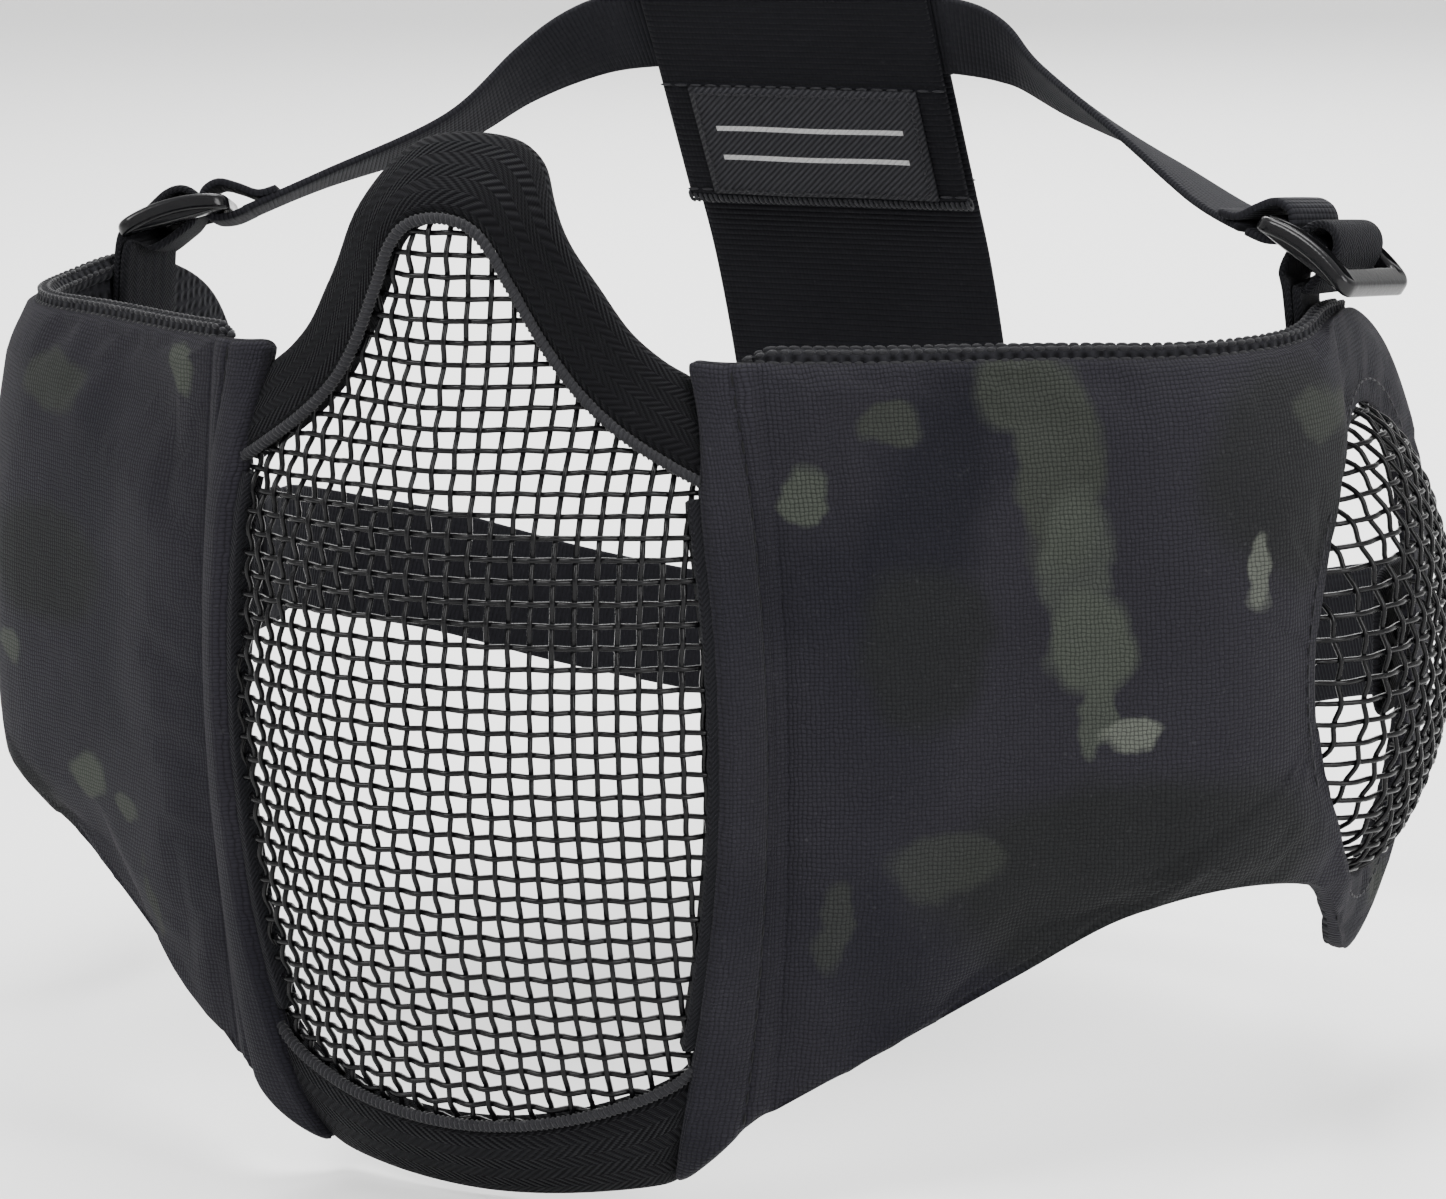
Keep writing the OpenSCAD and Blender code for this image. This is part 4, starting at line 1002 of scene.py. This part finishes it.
def makeSkin(side, word):
    rings, uv, pins, n = skinGrid(side)
    obj = gridObject("wingSkin" + word.capitalize(), rings, camoCloth, wrapRow=True, caps=False, uv=uv)
    obj.data.materials.append(liningKnit)
    cols = 2 * n + 2
    for p in obj.data.polygons:
        js = [v % cols for v in p.vertices]
        if min(js) > n and max(js) < cols:
            p.material_index = 1
    puffUp(obj, pins, skin)
    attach(obj, word + "_wing")
    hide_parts("wing_cover_" + word, "wing_pad_" + word, "wing_lining_" + word)
    return obj


for side, word in bothSides:
    makeSkin(side, word)
print("wings made")

hem = {"lift": 2.5, "thickness": 1.2, "back": -2.3, "puff": 1.2, "rows": 66, "cols": 18, "over": 2.4,
       "round": 2.6}


def hemPoint(v, w, off, side):
    # w runs from the folded front edge to the fold, and past 1 onto the wing
    corner = hem["round"] * (1 - math.sqrt(max(1 - (1 - min(w / 0.3, 1)) ** 2, 0)))
    low = lerp(-guard["down"] + 3, -lowZ - 0.5, min(w, 1)) + corner + 6 * max(w - 1, 0)
    z = lerp(low, topZ - 0.6 * corner, v)
    end = min(v, 1 - v) * (topZ - low)
    off = lerp(-0.4, off, math.sqrt(max(1 - (1 - min((end + 0.15) / 1.6, 1)) ** 2, 0)))
    if w <= 1:
        a = guardP(seamX(z), z, hem["lift"])
        b = wingP(-wing["gap"] / 2, z, 0.7)
        d = unit([b[1] - a[1], a[0] - b[0], 0])
        groove = 0.75 * math.exp(-((w - 0.86) / 0.055) ** 2) if off > 0 else 0
        p = lerp(a, b, w) + d * (off - groove + hem["puff"] * math.sin(math.pi * w))
    else:
        t = (w - 1) / 0.25
        s = lerp(-wing["gap"] / 2, hem["over"], t)
        p = wingP(s, z, 0.7 + off - max(off, 0) * 0.75 * smooth(t) + 0.15 * t)
    return flip(p, side)


def makeHem(side, word):
    ws = list(np.linspace(0.08, 1, hem["cols"])) + [1.06, 1.12, 1.19, 1.25]
    front, back = hem["thickness"], hem["back"]
    rings, uv = [], []
    for i in range(hem["rows"] + 1):
        v = 0.5 - 0.5 * math.cos(math.pi * i / hem["rows"])
        v = lerp(i / hem["rows"], v, 0.6)
        nose = [(0.03, 0.86), (0.004, 0.6), (-0.008, 0.35), (0.004, 0.12), (0.03, -0.02)]
        ring = [hemPoint(v, w, front, side) for w in ws[::-1]]
        ring += [hemPoint(v, w, lerp(back, front, f), side) for w, f in nose]
        ring += [hemPoint(v, w, back, side) for w in ws]
        ss = [-8.5 * (1 - w) if w <= 1 else (w - 1) * 12 for w in ws]
        us = ss[::-1] + [-8.7, -9.2, -9.8, -10.4, -11] + [-19.6 - s for s in ss]
        rings.append(ring)
        uv.append([(float(a), float(p[2])) for a, p in zip(us, ring)])
    obj = gridObject("hem" + word.capitalize(), rings, camoCloth, uv=uv)
    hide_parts("hem_" + word)
    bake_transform(obj)
    return obj


for side, word in bothSides:
    makeHem(side, word)


def stitchLine(name, points, body, settings, material=None):
    obj = lineObject(name, points)
    bakeNodes(obj, threadNodes, {"Pitch": settings[0] * mm, "Length": settings[1] * mm,
                                 "Thickness": settings[2] * mm,
                                 "Jitter": 0.12, "Seed": 5, "Material": material or seamThread})
    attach(obj, body)
    return obj


for side, word in bothSides:
    fold = [hemPoint(v, 0.86, hem["thickness"] + 0.02, side) for v in np.linspace(0.02, 0.98, 90)]
    stitchLine("foldStitches" + word.capitalize(), [fold], "face_guard", (3.1, 2.4, 0.55), darkThread)
    rimLine = [flip(wingP(earS + (wing["earA"] + 3.2) * math.cos(a),
                          wing["earZ"] + (wing["earB"] + 3.2) * math.sin(a),
                          2.0), side) for a in np.linspace(0, 2 * math.pi, 120)]
    stitchLine("rimStitches" + word.capitalize(), [rimLine], word + "_wing", (2.9, 2.3, 0.38))
print("hems and stitches made")

knitEdge = {"height": 2.4, "thick": 3.0, "rows": 4, "pitch": 1.75}


def makeKnitEdge(side, word):
    top = [np.array(p) for p in wingCurve[:7]]
    line, dist = evenPath(top, 1.5)
    rings = []
    lines = [[] for _ in range(knitEdge["rows"])]
    for k, p in enumerate(line):
        base = wingBase(p[0], p[1] - 1.0)
        n = wingN(p[0], p[1] - 1.0)
        c = base - n * 1.2 + np.array([0, 0, knitEdge["height"] - 1.2])
        taper = smooth(min(dist[k], dist[-1] - dist[k]) / 5 + 0.25)
        ring = []
        for a in range(12):
            t = a * math.pi / 6
            ring.append(flip(c + n * math.cos(t) * knitEdge["thick"] / 2 * taper
                             + np.array([0, 0, math.sin(t) * 1.7 * taper]), side))
        rings.append(ring)
        for r in range(knitEdge["rows"]):
            t = math.pi * (r - 0.2) / (knitEdge["rows"] - 1) * 0.95
            lines[r].append(flip(c + n * math.cos(t) * (knitEdge["thick"] / 2 * taper)
                                 + np.array([0, 0, math.sin(t) * 1.75 * taper]), side))
    v = [a * 0.9 for a in range(13)]
    core = gridObject("knitCore", rings, liningKnit, dist, v)
    bumps = lineObject("knitBumps", lines)
    bakeNodes(bumps, threadNodes, {"Pitch": knitEdge["pitch"] * mm, "Length": 1.7 * mm,
                                   "Thickness": 0.85 * mm,
                                   "Jitter": 0.5, "Seed": 8, "Material": knitThread})
    obj = joinObjects("knitEdge" + word.capitalize(), [core, bumps])
    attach(obj, word + "_wing")


for side, word in bothSides:
    makeKnitEdge(side, word)
print("knitted edges made")

dome = {"pitch": 3.15, "radius": 0.42, "crimp": 0.38, "shift": 0.8, "wobble": 0.3, "under": 1.5}


def makeDome(side, word):
    a0, b0 = wing["earA"] + dome["under"], wing["earB"] + dome["under"]
    per = 4

    def place(ds, dz, off):
        r2 = (ds / (wing["earA"] - 0.8)) ** 2 + (dz / (wing["earB"] - 0.8)) ** 2
        h = wing["domeH"] * max(1 - r2, 0) ** wing["domePower"]
        return flip(wingP(earS + ds, wing["earZ"] + dz, h + off), side)

    lines = []
    step = dome["pitch"] / per
    for count, other, turned in ((11, 13, False), (13, 11, True)):
        for i in range(-count, count + 1):
            line = []
            for k in range(-other * per, other * per + 1):
                ds, dz = (k * step, i * dome["pitch"]) if turned else (i * dome["pitch"], k * step)
                ds += dome["shift"]
                if (ds / a0) ** 2 + (dz / b0) ** 2 < 1:
                    line.append(place(ds, dz, dome["crimp"] * math.cos(math.pi * (k / per + i + turned))))
            if len(line) > 4:
                lines.append(line)
    obj = lineObject("earWires" + word.capitalize(), lines)
    bakeNodes(obj, wireNodes, {"Radius": dome["radius"] * mm, "Sides": 6, "Wobble": dome["wobble"] * mm,
                               "Seed": 5.0 + side,
                               "Material": wirePaint})
    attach(obj, word + "_wing")
    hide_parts("ear_mesh_" + word)


for side, word in bothSides:
    makeDome(side, word)
print("ear meshes made")


def ribbonRings(stations, width, thick):
    section = [(-1, 0.0), (-0.985, 0.7), (-0.94, 1.0), (-0.5, 1.06), (0, 1.08), (0.5, 1.06), (0.94, 1.0),
               (0.985, 0.7)]
    section += [(-a, -b) for a, b in section]
    rings = []
    for c, w, n in stations:
        rings.append([c + w * a * width / 2 + n * b * thick / 2 for a, b in section])
    v = [0.0]
    for a, b in zip(rings[0], rings[0][1:] + rings[0][:1]):
        v.append(v[-1] + float(np.linalg.norm(b - a)))
    return rings, v


def stationsAlong(centres, widths, step=0.9):
    # a smooth path with its width direction carried along
    joined = [np.concatenate([np.asarray(c, float), unit(w) * 10]) for c, w in zip(centres, widths)]
    n = len(joined) - 1
    pts = [splinePoint(joined, u) for u in np.linspace(0, n, 30 * n + 1)]
    cum = runLength(pts)
    count = max(int(cum[-1] / step), 4)
    wanted = np.linspace(0, cum[-1], count + 1)
    arr = np.array(pts)
    even = [np.array([np.interp(x, cum, arr[:, k]) for k in range(6)]) for x in wanted]
    stations = []
    for k, p in enumerate(even):
        t = unit(even[min(k + 1, count)][:3] - even[max(k - 1, 0)][:3])
        w = unit(p[3:] - t * float(np.dot(p[3:], t)))
        stations.append((p[:3], w, unit(np.cross(w, t))))
    return stations, wanted


def shearedStations(given, step):
    # sections that keep the width and facing they are given, for webbing that leans sideways
    rows = [np.concatenate([c, w, n]) for c, w, n in given]
    pts = np.array([splinePoint(rows, u) for u in np.linspace(0, len(rows) - 1, 24 * (len(rows) - 1) + 1)])
    cum = runLength(pts)
    wanted = np.linspace(0, cum[-1], max(int(cum[-1] / step), 4) + 1)
    even = [np.array([np.interp(x, cum, pts[:, k]) for k in range(9)]) for x in wanted]
    return [(q[:3], unit(q[3:6]), unit(q[6:])) for q in even], wanted


def makeRibbon(name, stations, dist, width, thick, material, side=1):
    rings, v = ribbonRings(stations, width, thick)
    rings = [[flip(p, side) for p in ring] for ring in rings]
    return gridObject(name, rings, material, dist, v)


slide = {"atLeft": np.array([102.5, 84.2, 57.5]), "atRight": np.array([94.5, 88.0, 55.6]), "bar": 3.0,
         "strapW": 15.0, "strapT": 1.3, "elasticT": 1.2, "t": 2.6, "length": 18.5, "bow": 1.7, "round": 0.75,
         "hump": 0.42, "turn": 2.9}
slide["slot"] = (slide["length"] - 3 * slide["bar"]) / 2
slide["width"] = slide["strapW"] + 0.6 + 2 * slide["bar"]


def slideAxes(side):
    y = unit([0.197, 0.974, -0.114]) if side > 0 else unit([0.38, 0.9, -0.2])
    a = np.array([0.82, -0.25, -0.51]) if side > 0 else np.array([0.88, -0.42, -0.24])
    x = unit(a - y * float(np.dot(a, y)))
    return x, y, np.cross(x, y)


def slideAt(side):
    return slide["atLeft"] if side > 0 else slide["atRight"]


def roundedLoop(halfX, halfY, radius, cx=0.0, step=0.7):
    pts = []
    for qx, qy, start in ((1, 1, 0), (-1, 1, 90), (-1, -1, 180), (1, -1, 270)):
        for a in range(0, 91, 15):
            t = math.radians(start + a)
            pts.append((cx + qx * (halfX - radius) + radius * math.cos(t),
                        qy * (halfY - radius) + radius * math.sin(t)))
    dense = []
    for p, q in zip(pts, pts[1:] + pts[:1]):
        n = max(int(math.dist(p, q) / step), 1)
        dense += [(lerp(p[0], q[0], k / n), lerp(p[1], q[1], k / n)) for k in range(n)]
    return dense


def makeSlide(side, word):
    curve = bpy.data.curves.new("slideCurve", "CURVE")
    curve.dimensions = "2D"
    curve.fill_mode = "BOTH"
    bevel = slide["round"]
    loops = [roundedLoop(slide["length"] / 2 - bevel, slide["width"] / 2 - bevel, 1.8)]
    for a in (-1, 1):
        loops.append(roundedLoop(slide["slot"] / 2 + bevel * 0.45,
                                 slide["width"] / 2 - slide["bar"] + bevel * 0.45, 0.9,
                                 a * (slide["bar"] + slide["slot"]) / 2))
    for loop in loops:
        spline = curve.splines.new("POLY")
        spline.points.add(len(loop) - 1)
        for point, (x, y) in zip(spline.points, loop):
            point.co = (x * mm, y * mm, 0, 1)
        spline.use_cyclic_u = True
    curve.extrude = (slide["t"] / 2 - bevel) * mm
    curve.bevel_depth = bevel * mm
    curve.bevel_resolution = 3
    temp = bpy.data.objects.new("slideTemp", curve)
    scene.collection.objects.link(temp)
    graph = bpy.context.evaluated_depsgraph_get()
    mesh = bpy.data.meshes.new_from_object(temp.evaluated_get(graph))
    bpy.data.objects.remove(temp)
    x, y, z = slideAxes(side)
    for v in mesh.vertices:
        px, py, pz = (c / mm for c in v.co)
        pz += slide["bow"] * (0.45 - (px / (slide["length"] / 2)) ** 2)
        p = slideAt(side) + x * px + y * py + z * pz
        v.co = Vector(flip(p, side)) * mm
    for p in mesh.polygons:
        p.use_smooth = True
    bm = bmesh.new()
    bm.from_mesh(mesh)
    bmesh.ops.remove_doubles(bm, verts=bm.verts, dist=1e-6)
    bmesh.ops.recalc_face_normals(bm, faces=bm.faces)
    for e in bm.edges:
        if len(e.link_faces) == 2 and e.calc_face_angle(0) > math.radians(40):
            e.smooth = False
    bm.to_mesh(mesh)
    bm.free()
    obj = linkMesh("strapSlide" + word.capitalize(), mesh, None)
    obj.data.materials.clear()
    obj.data.materials.append(slidePlastic)
    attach(obj, word + "_slide")
    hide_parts("tri_glide_" + word)


crownMid = np.array([0, 126.0, 84.0])
crownU = unit([0, 0.5, -0.86])
crownN = np.array([0, -crownU[2], crownU[1]])


def makeAnchor(side, word):
    y = slideAxes(side)[1]
    s0 = lobeS - 9
    lip = 6.2
    wingW = unit(wingP(s0 + 1, topZ - 10) - wingP(s0 - 1, topZ - 10))
    inward = -wingN(s0, topZ - 10)
    foot = wingP(s0, topZ - 14, -lip + 1.0)
    neck = wingP(s0, topZ + 1.5, -lip + 2.6)
    at = slideAt(side)
    r = 3.1
    drop = unit(neck - at - y * float(np.dot(neck - at, y)))
    out = unit(np.cross(y, drop))
    if float(np.dot(out, inward)) < 0:
        out = -out
    half = slide["strapT"] / 2 + 0.1
    leg = []
    for e in (-1, 1):
        leg.append([(foot + inward * e * half, wingW, inward * e),
                    (neck + inward * e * half, wingW, inward * e),
                    (at + drop * 5.5 + out * e * r * 0.8, unit(lerp(wingW, y, 0.8)), out * e)])
    arc = []
    for a in range(0, 181, 20):
        n = math.cos(math.radians(a)) * out - math.sin(math.radians(a)) * drop
        hump = 1 + slide["hump"] * math.sin(math.radians(a)) ** 2
        arc.append((at + n * r * hump, y, n))
    stations, dist = shearedStations(leg[1] + arc + leg[0][::-1], 0.6)
    obj = makeRibbon("anchorLoop" + word.capitalize(), stations, dist, slide["strapW"], slide["strapT"],
                     webbing, side)
    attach(obj, word + "_wing")
    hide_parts("anchor_loop_" + word)
    box = [foot + wingW * a * 6 + inward * 1.6 + np.array([0, 0, b]) for a, b in
           ((-1, 1), (1, 1), (1, 10), (-1, 10), (-1, 1), (1, 10))]
    stitchLine("anchorStitches" + word.capitalize(), [[flip(p, side) for p in box]], word + "_wing",
               (2.2, 1.8, 0.4))


def makeCrownStrap(side, word):
    x, y = slideAxes(side)[:2]
    bar = slideAt(side) - x * (slide["length"] / 2 - slide["bar"] / 2)
    route = [np.array([0.15, 126, 84]), np.array([9.0, 126, 84]), np.array([18.0, 126, 84]),
             np.array([27.0, 126, 84]), np.array([36, 125, 82]), np.array([46, 121, 76.5]),
             slideAt(side) + [-38.5, 24, 12.5], slideAt(side) + [-21.5, 11.3, 5.3]]
    widths = [unit(lerp(crownU, y, smooth((u - 3) / 4.5))) for u in range(8)]
    back = route[-1] - bar
    d = unit(back - y * float(np.dot(back, y)))
    m = np.cross(d, y)
    tEnd = unit(route[-1] - route[-2])
    nEnd = np.cross(widths[-1], tEnd)
    s = 1 if float(np.dot(nEnd, m)) > 0 else -1
    r = slide["turn"]
    stations, dist = stationsAlong(route + [bar + d * 3.2 + m * s * r * 0.85], widths + [y], 0.9)
    obj = makeRibbon("crownStrap" + word.capitalize(), stations, dist, slide["strapW"], slide["elasticT"],
                     elasticStrap, side)
    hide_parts("crown_strap_" + word)
    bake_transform(obj)
    centres = [bar + d * 4.4 + m * s * r * 0.8, bar + d * 1.2 + m * s * r]
    for a in (30, 60, 90, 120, 150):
        t = math.radians(a)
        centres.append(bar + m * s * r * math.cos(t) - d * r * math.sin(t))
    centres += [bar + d * 0.7 - m * s * r, bar + d * 3.4 - m * s * 1.5, bar + d * 6.4 + m * s * 0.35,
                bar + d * 9.5 + m * s * 0.3]
    stations, dist = stationsAlong(centres, [y] * len(centres), 0.6)
    loop = makeRibbon("strapLoop" + word.capitalize(), stations, dist, slide["strapW"], slide["elasticT"],
                      elasticStrap, side)
    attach(loop, word + "_slide")


nape = {"width": 22, "height": -10, "tabHalf": 12.0, "tabRound": 4.0, "step": 1.2}


def makeNapeStrap(side, word):
    tabS = cupEnd - 2
    tabN = 1.4 + 1.2
    front = wingP(tabS - 9, nape["height"], -tabN - 2.6)
    rear = wingP(tabS + 5, nape["height"], -tabN - 1)
    t = unit(rear - front)
    route = [front + t * 6, rear + t * 2.15, rear + t * 6, (98, 150, -13.5), (83, 161, -18), (62, 168, -24),
             (39, 171.5, -28), (27, 172, -29), (18, 172, -29), (9, 172, -29), (0.15, 172, -29)]
    route = [np.asarray(p, float) for p in route]
    route[0] = route[0] + unit(np.cross(t, [0, 0, 1])) * -1.2
    stations, dist = stationsAlong(route, [np.array([0, 0, 1.0])] * len(route), nape["step"])
    obj = makeRibbon("napeStrap" + word.capitalize(), stations, dist, nape["width"], slide["elasticT"],
                     elasticStrap, side)
    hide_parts("nape_strap_" + word)
    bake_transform(obj)
    # tab with round corners
    yy = unit(np.cross(np.cross(t, [0, 0, 1.0]), t))
    zz = np.cross(t, yy)
    length = float(np.linalg.norm(rear - front)) + 2
    loop = []
    half, radius = nape["tabHalf"], nape["tabRound"]
    for qx, qy, start in ((1, 1, 0), (0, 1, 90), (0, -1, 180), (1, -1, 270)):
        rr = 1.2 if qx else radius
        for a in range(0, 91, 15):
            g = math.radians(start + a)
            loop.append((lerp(rr, length - rr, qx) + rr * math.cos(g), qy * (half - rr) + rr * math.sin(g)))
    mid = (length / 2, 0)
    rings = []
    for shrink, h in ((0.02, 0.75), (0.5, 0.76), (0.93, 0.72), (0.98, 0.5), (1.0, 0.2), (1.0, -0.2),
                      (0.98, -0.5),
                      (0.93, -0.72), (0.5, -0.76), (0.02, -0.75)):
        rings.append([flip(front + t * lerp(mid[0], a, shrink) + yy * lerp(mid[1], b, shrink) + zz * h, side)
                      for a, b in loop])
    uv = [[(lerp(mid[0], a, sh), lerp(mid[1], b, sh)) for a, b in loop]
          for sh in (0.02, 0.5, 0.93, 0.98, 1.0, 1.0, 0.98, 0.93, 0.5, 0.02)]
    tab = gridObject("napeTab" + word.capitalize(), rings, webbing, uv=uv)
    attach(tab, word + "_wing")
    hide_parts("nape_tab_" + word)
    box = [front + t * a + yy * b - zz * 0.85 for a, b in ((3, -9), (3, 9), (13, 9), (13, -9), (3, -9),
                                                           (13, 9))]
    box2 = [p + zz * 1.7 for p in box]
    stitchLine("tabStitches" + word.capitalize(),
               [[flip(p, side) for p in box], [flip(p, side) for p in box2]],
               word + "_wing", (2.4, 1.9, 0.4))


for side, word in bothSides:
    makeSlide(side, word)
    makeAnchor(side, word)
    makeCrownStrap(side, word)
    makeNapeStrap(side, word)
print("straps and slides made")

band = {"width": 50.0, "thickness": 1.4, "gap": 1.6, "sleeveHalf": 8.1, "turnIn": 33.0, "napeHalf": 11.6}


def bandPath():
    u2 = np.array([0.5, -0.86]) / math.hypot(0.5, 0.86)
    n2 = np.array([-u2[1], u2[0]])
    c, m, g = np.array([126.0, 84.0]), np.array([172.0, -29.0]), band["gap"]
    nu, nn = np.array([0.0, -1.0]), np.array([1.0, 0.0])
    pts = [c + u2 * l - n2 * g for l in (band["turnIn"], 25, 16, 8, 0, -band["sleeveHalf"])]
    pts += [c - u2 * (band["sleeveHalf"] + g * math.sin(math.radians(a))) - n2 * g * math.cos(math.radians(a))
            for a in range(30, 151, 30)]
    pts += [c + u2 * l + n2 * g for l in (-band["sleeveHalf"], 0, 8, 16, 25, band["turnIn"])]
    pts += [np.array(p, float) for p in ((151.5, 43), (159, 25), (165.5, 5))]
    h = band["napeHalf"]
    pts += [m + nu * l + nn * g for l in (-h - 4, -h + 4, 0, h)]
    pts += [m + nu * (h + g * math.sin(math.radians(a))) + nn * g * math.cos(math.radians(a))
            for a in range(30, 151, 30)]
    pts += [m + nu * l - nn * g for l in (h, 0, -h - 2)]
    return pts, u2, n2


def makeBand():
    pts, u2, n2 = bandPath()
    line, dist = evenPath(pts, 1.0)
    stations = []
    for k, p in enumerate(line):
        t = line[min(k + 1, len(line) - 1)] - line[max(k - 1, 0)]
        t = unit([0, t[0], t[1]])
        stations.append((np.array([0, p[0], p[1]]), np.array([1.0, 0, 0]), unit(np.cross([1.0, 0, 0], t))))
    obj = makeRibbon("crownBand", stations, dist, band["width"], band["thickness"], elasticBand)
    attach(obj, "crown_band")
    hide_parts("crown_band")
    # rows of stitching under the sleeve, at the turned end and over the nape loop
    c = np.array([126.0, 84.0])
    rows = []
    for way in (-1, 1):
        for l in (9.4, 31.0):
            q = c + u2 * l + n2 * way * (band["gap"] + 0.85)
            rows.append([np.array([x, q[0], q[1]]) for x in np.linspace(-24, 24, 30)])
    for away in (band["gap"] + 0.85, -band["gap"] - 0.85):
        rows.append([np.array([x, 172 + away, -29 + 13.0]) for x in np.linspace(-24, 24, 30)])
    stitchLine("bandStitches", rows, "crown_band", (2.6, 2.1, 0.42))
    # overlocked end of the turned layer
    q = c + u2 * band["turnIn"] - n2 * band["gap"]
    edge = lineObject("bandOverlock", [[np.array([x, q[0], q[1]]) for x in np.linspace(-24.8, 24.8, 60)]])
    bakeNodes(edge, whipNodes, {"Pitch": 0.9 * mm, "Radius": 0.95 * mm, "Thread": 0.3 * mm, "Lean": 0.4,
                                "Material": seamThread})
    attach(edge, "crown_band")


label = {"halfW": 20.0, "height": 22.0, "rows": 14, "cols": 24, "back": 0.38}


def makeLabel():
    u3, n3 = crownU, crownN
    start = band["sleeveHalf"] + 1.5
    base = crownMid - n3 * (band["gap"] + band["thickness"] / 2 + 0.45)
    rings, uv = [], []
    rows, cols = label["rows"], label["cols"]
    halfW, height = label["halfW"], label["height"]
    for i in range(rows + 1):
        v = i / rows
        ring, uvr = [], []
        for j in range(cols + 1):
            a = -1 + 2 * j / cols
            edge = min(1 - abs(a), (1 - abs(2 * v - 1)) * height / halfW / 2)
            puff = 0.12 + 0.34 * smooth(edge * halfW / 1.6) + 0.1 * math.sin(a * 5 + v * 3)
            ring.append(base + np.array([a * halfW, 0, 0]) + u3 * (start + v * height) - n3 * puff)
            uvr.append((a * halfW, (v - 0.5) * height))
        for j in range(cols, -1, -1):
            a = -1 + 2 * j / cols
            ring.append(base + np.array([a * halfW, 0, 0]) + u3 * (start + v * height) + n3 * label["back"])
            uvr.append((a * halfW, (v - 0.5) * height))
        rings.append(ring)
        uv.append(uvr)
    obj = gridObject("blankLabel", rings, labelTwill, uv=uv)
    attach(obj, "crown_band")
    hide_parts("label")
    frameLine = [base + np.array([x, 0, 0]) + u3 * (start + l) - n3 * 0.5 for x, l in
                 ((-19, 1), (19, 1), (19, 21), (-19, 21), (-19, 1))]
    stitchLine("labelStitches", [frameLine], "crown_band", (1.5, 1.2, 0.34))


makeBand()
makeLabel()
print("band and label made")

stage = {"radius": 2.2, "rise": 1.6, "colour": (0.86, 0.86, 0.85)}


def makeFloor():
    mat, tree, shader = newMaterial("paleFloor", stage["colour"], 0.7, 0.2)
    place = objectPlace(tree)
    drift = addNode(tree, "ShaderNodeTexNoise", {"Vector": place, "Scale": 3.0})
    tone = mixColour(tree, drift.outputs["Fac"], (0.85, 0.85, 0.845, 1), (0.88, 0.88, 0.875, 1))
    tree.links.new(tone, shader.inputs["Base Color"])
    low = cadBox[0][2] / mm - 1.2
    rings = []
    for r, h in [(0.001, 0), (0.5, 0), (1.2, 0), (1.8, 0.02), (2.4, 0.16), (2.9, 0.5), (3.2, 1.1),
                 (3.3, 2.2)]:
        rings.append([(1000 * r * math.cos(a), 1000 * r * math.sin(a), low + 1000 * h)
                      for a in np.linspace(0, 2 * math.pi, 64, endpoint=False)])
    obj = gridObject("floor", rings, mat, list(range(8)), list(range(65)), caps=False)


def areaLight(name, place, size, power):
    data = bpy.data.lights.new(name, "AREA")
    data.shape = "DISK"
    data.size = size
    data.energy = power
    obj = bpy.data.objects.new(name, data)
    scene.collection.objects.link(obj)
    obj.location = place
    obj.rotation_euler = (Vector((0, 0.05, 0)) - Vector(place)).to_track_quat("-Z", "Y").to_euler()


makeFloor()
areaLight("keyLight", (-0.55, -1.0, 1.0), 0.7, 24)
areaLight("fillLight", (1.1, -0.55, 0.5), 0.8, 20)
areaLight("topLight", (0.1, 0.3, 1.3), 0.9, 26)
areaLight("backLight", (-0.3, 1.2, 0.7), 0.8, 16)
world = bpy.data.worlds.new("studio")
scene.world = world
world.use_nodes = True
world.node_tree.nodes["Background"].inputs[0].default_value = (1, 1, 1, 1)
world.node_tree.nodes["Background"].inputs[1].default_value = 1.12
print("floor and light made")
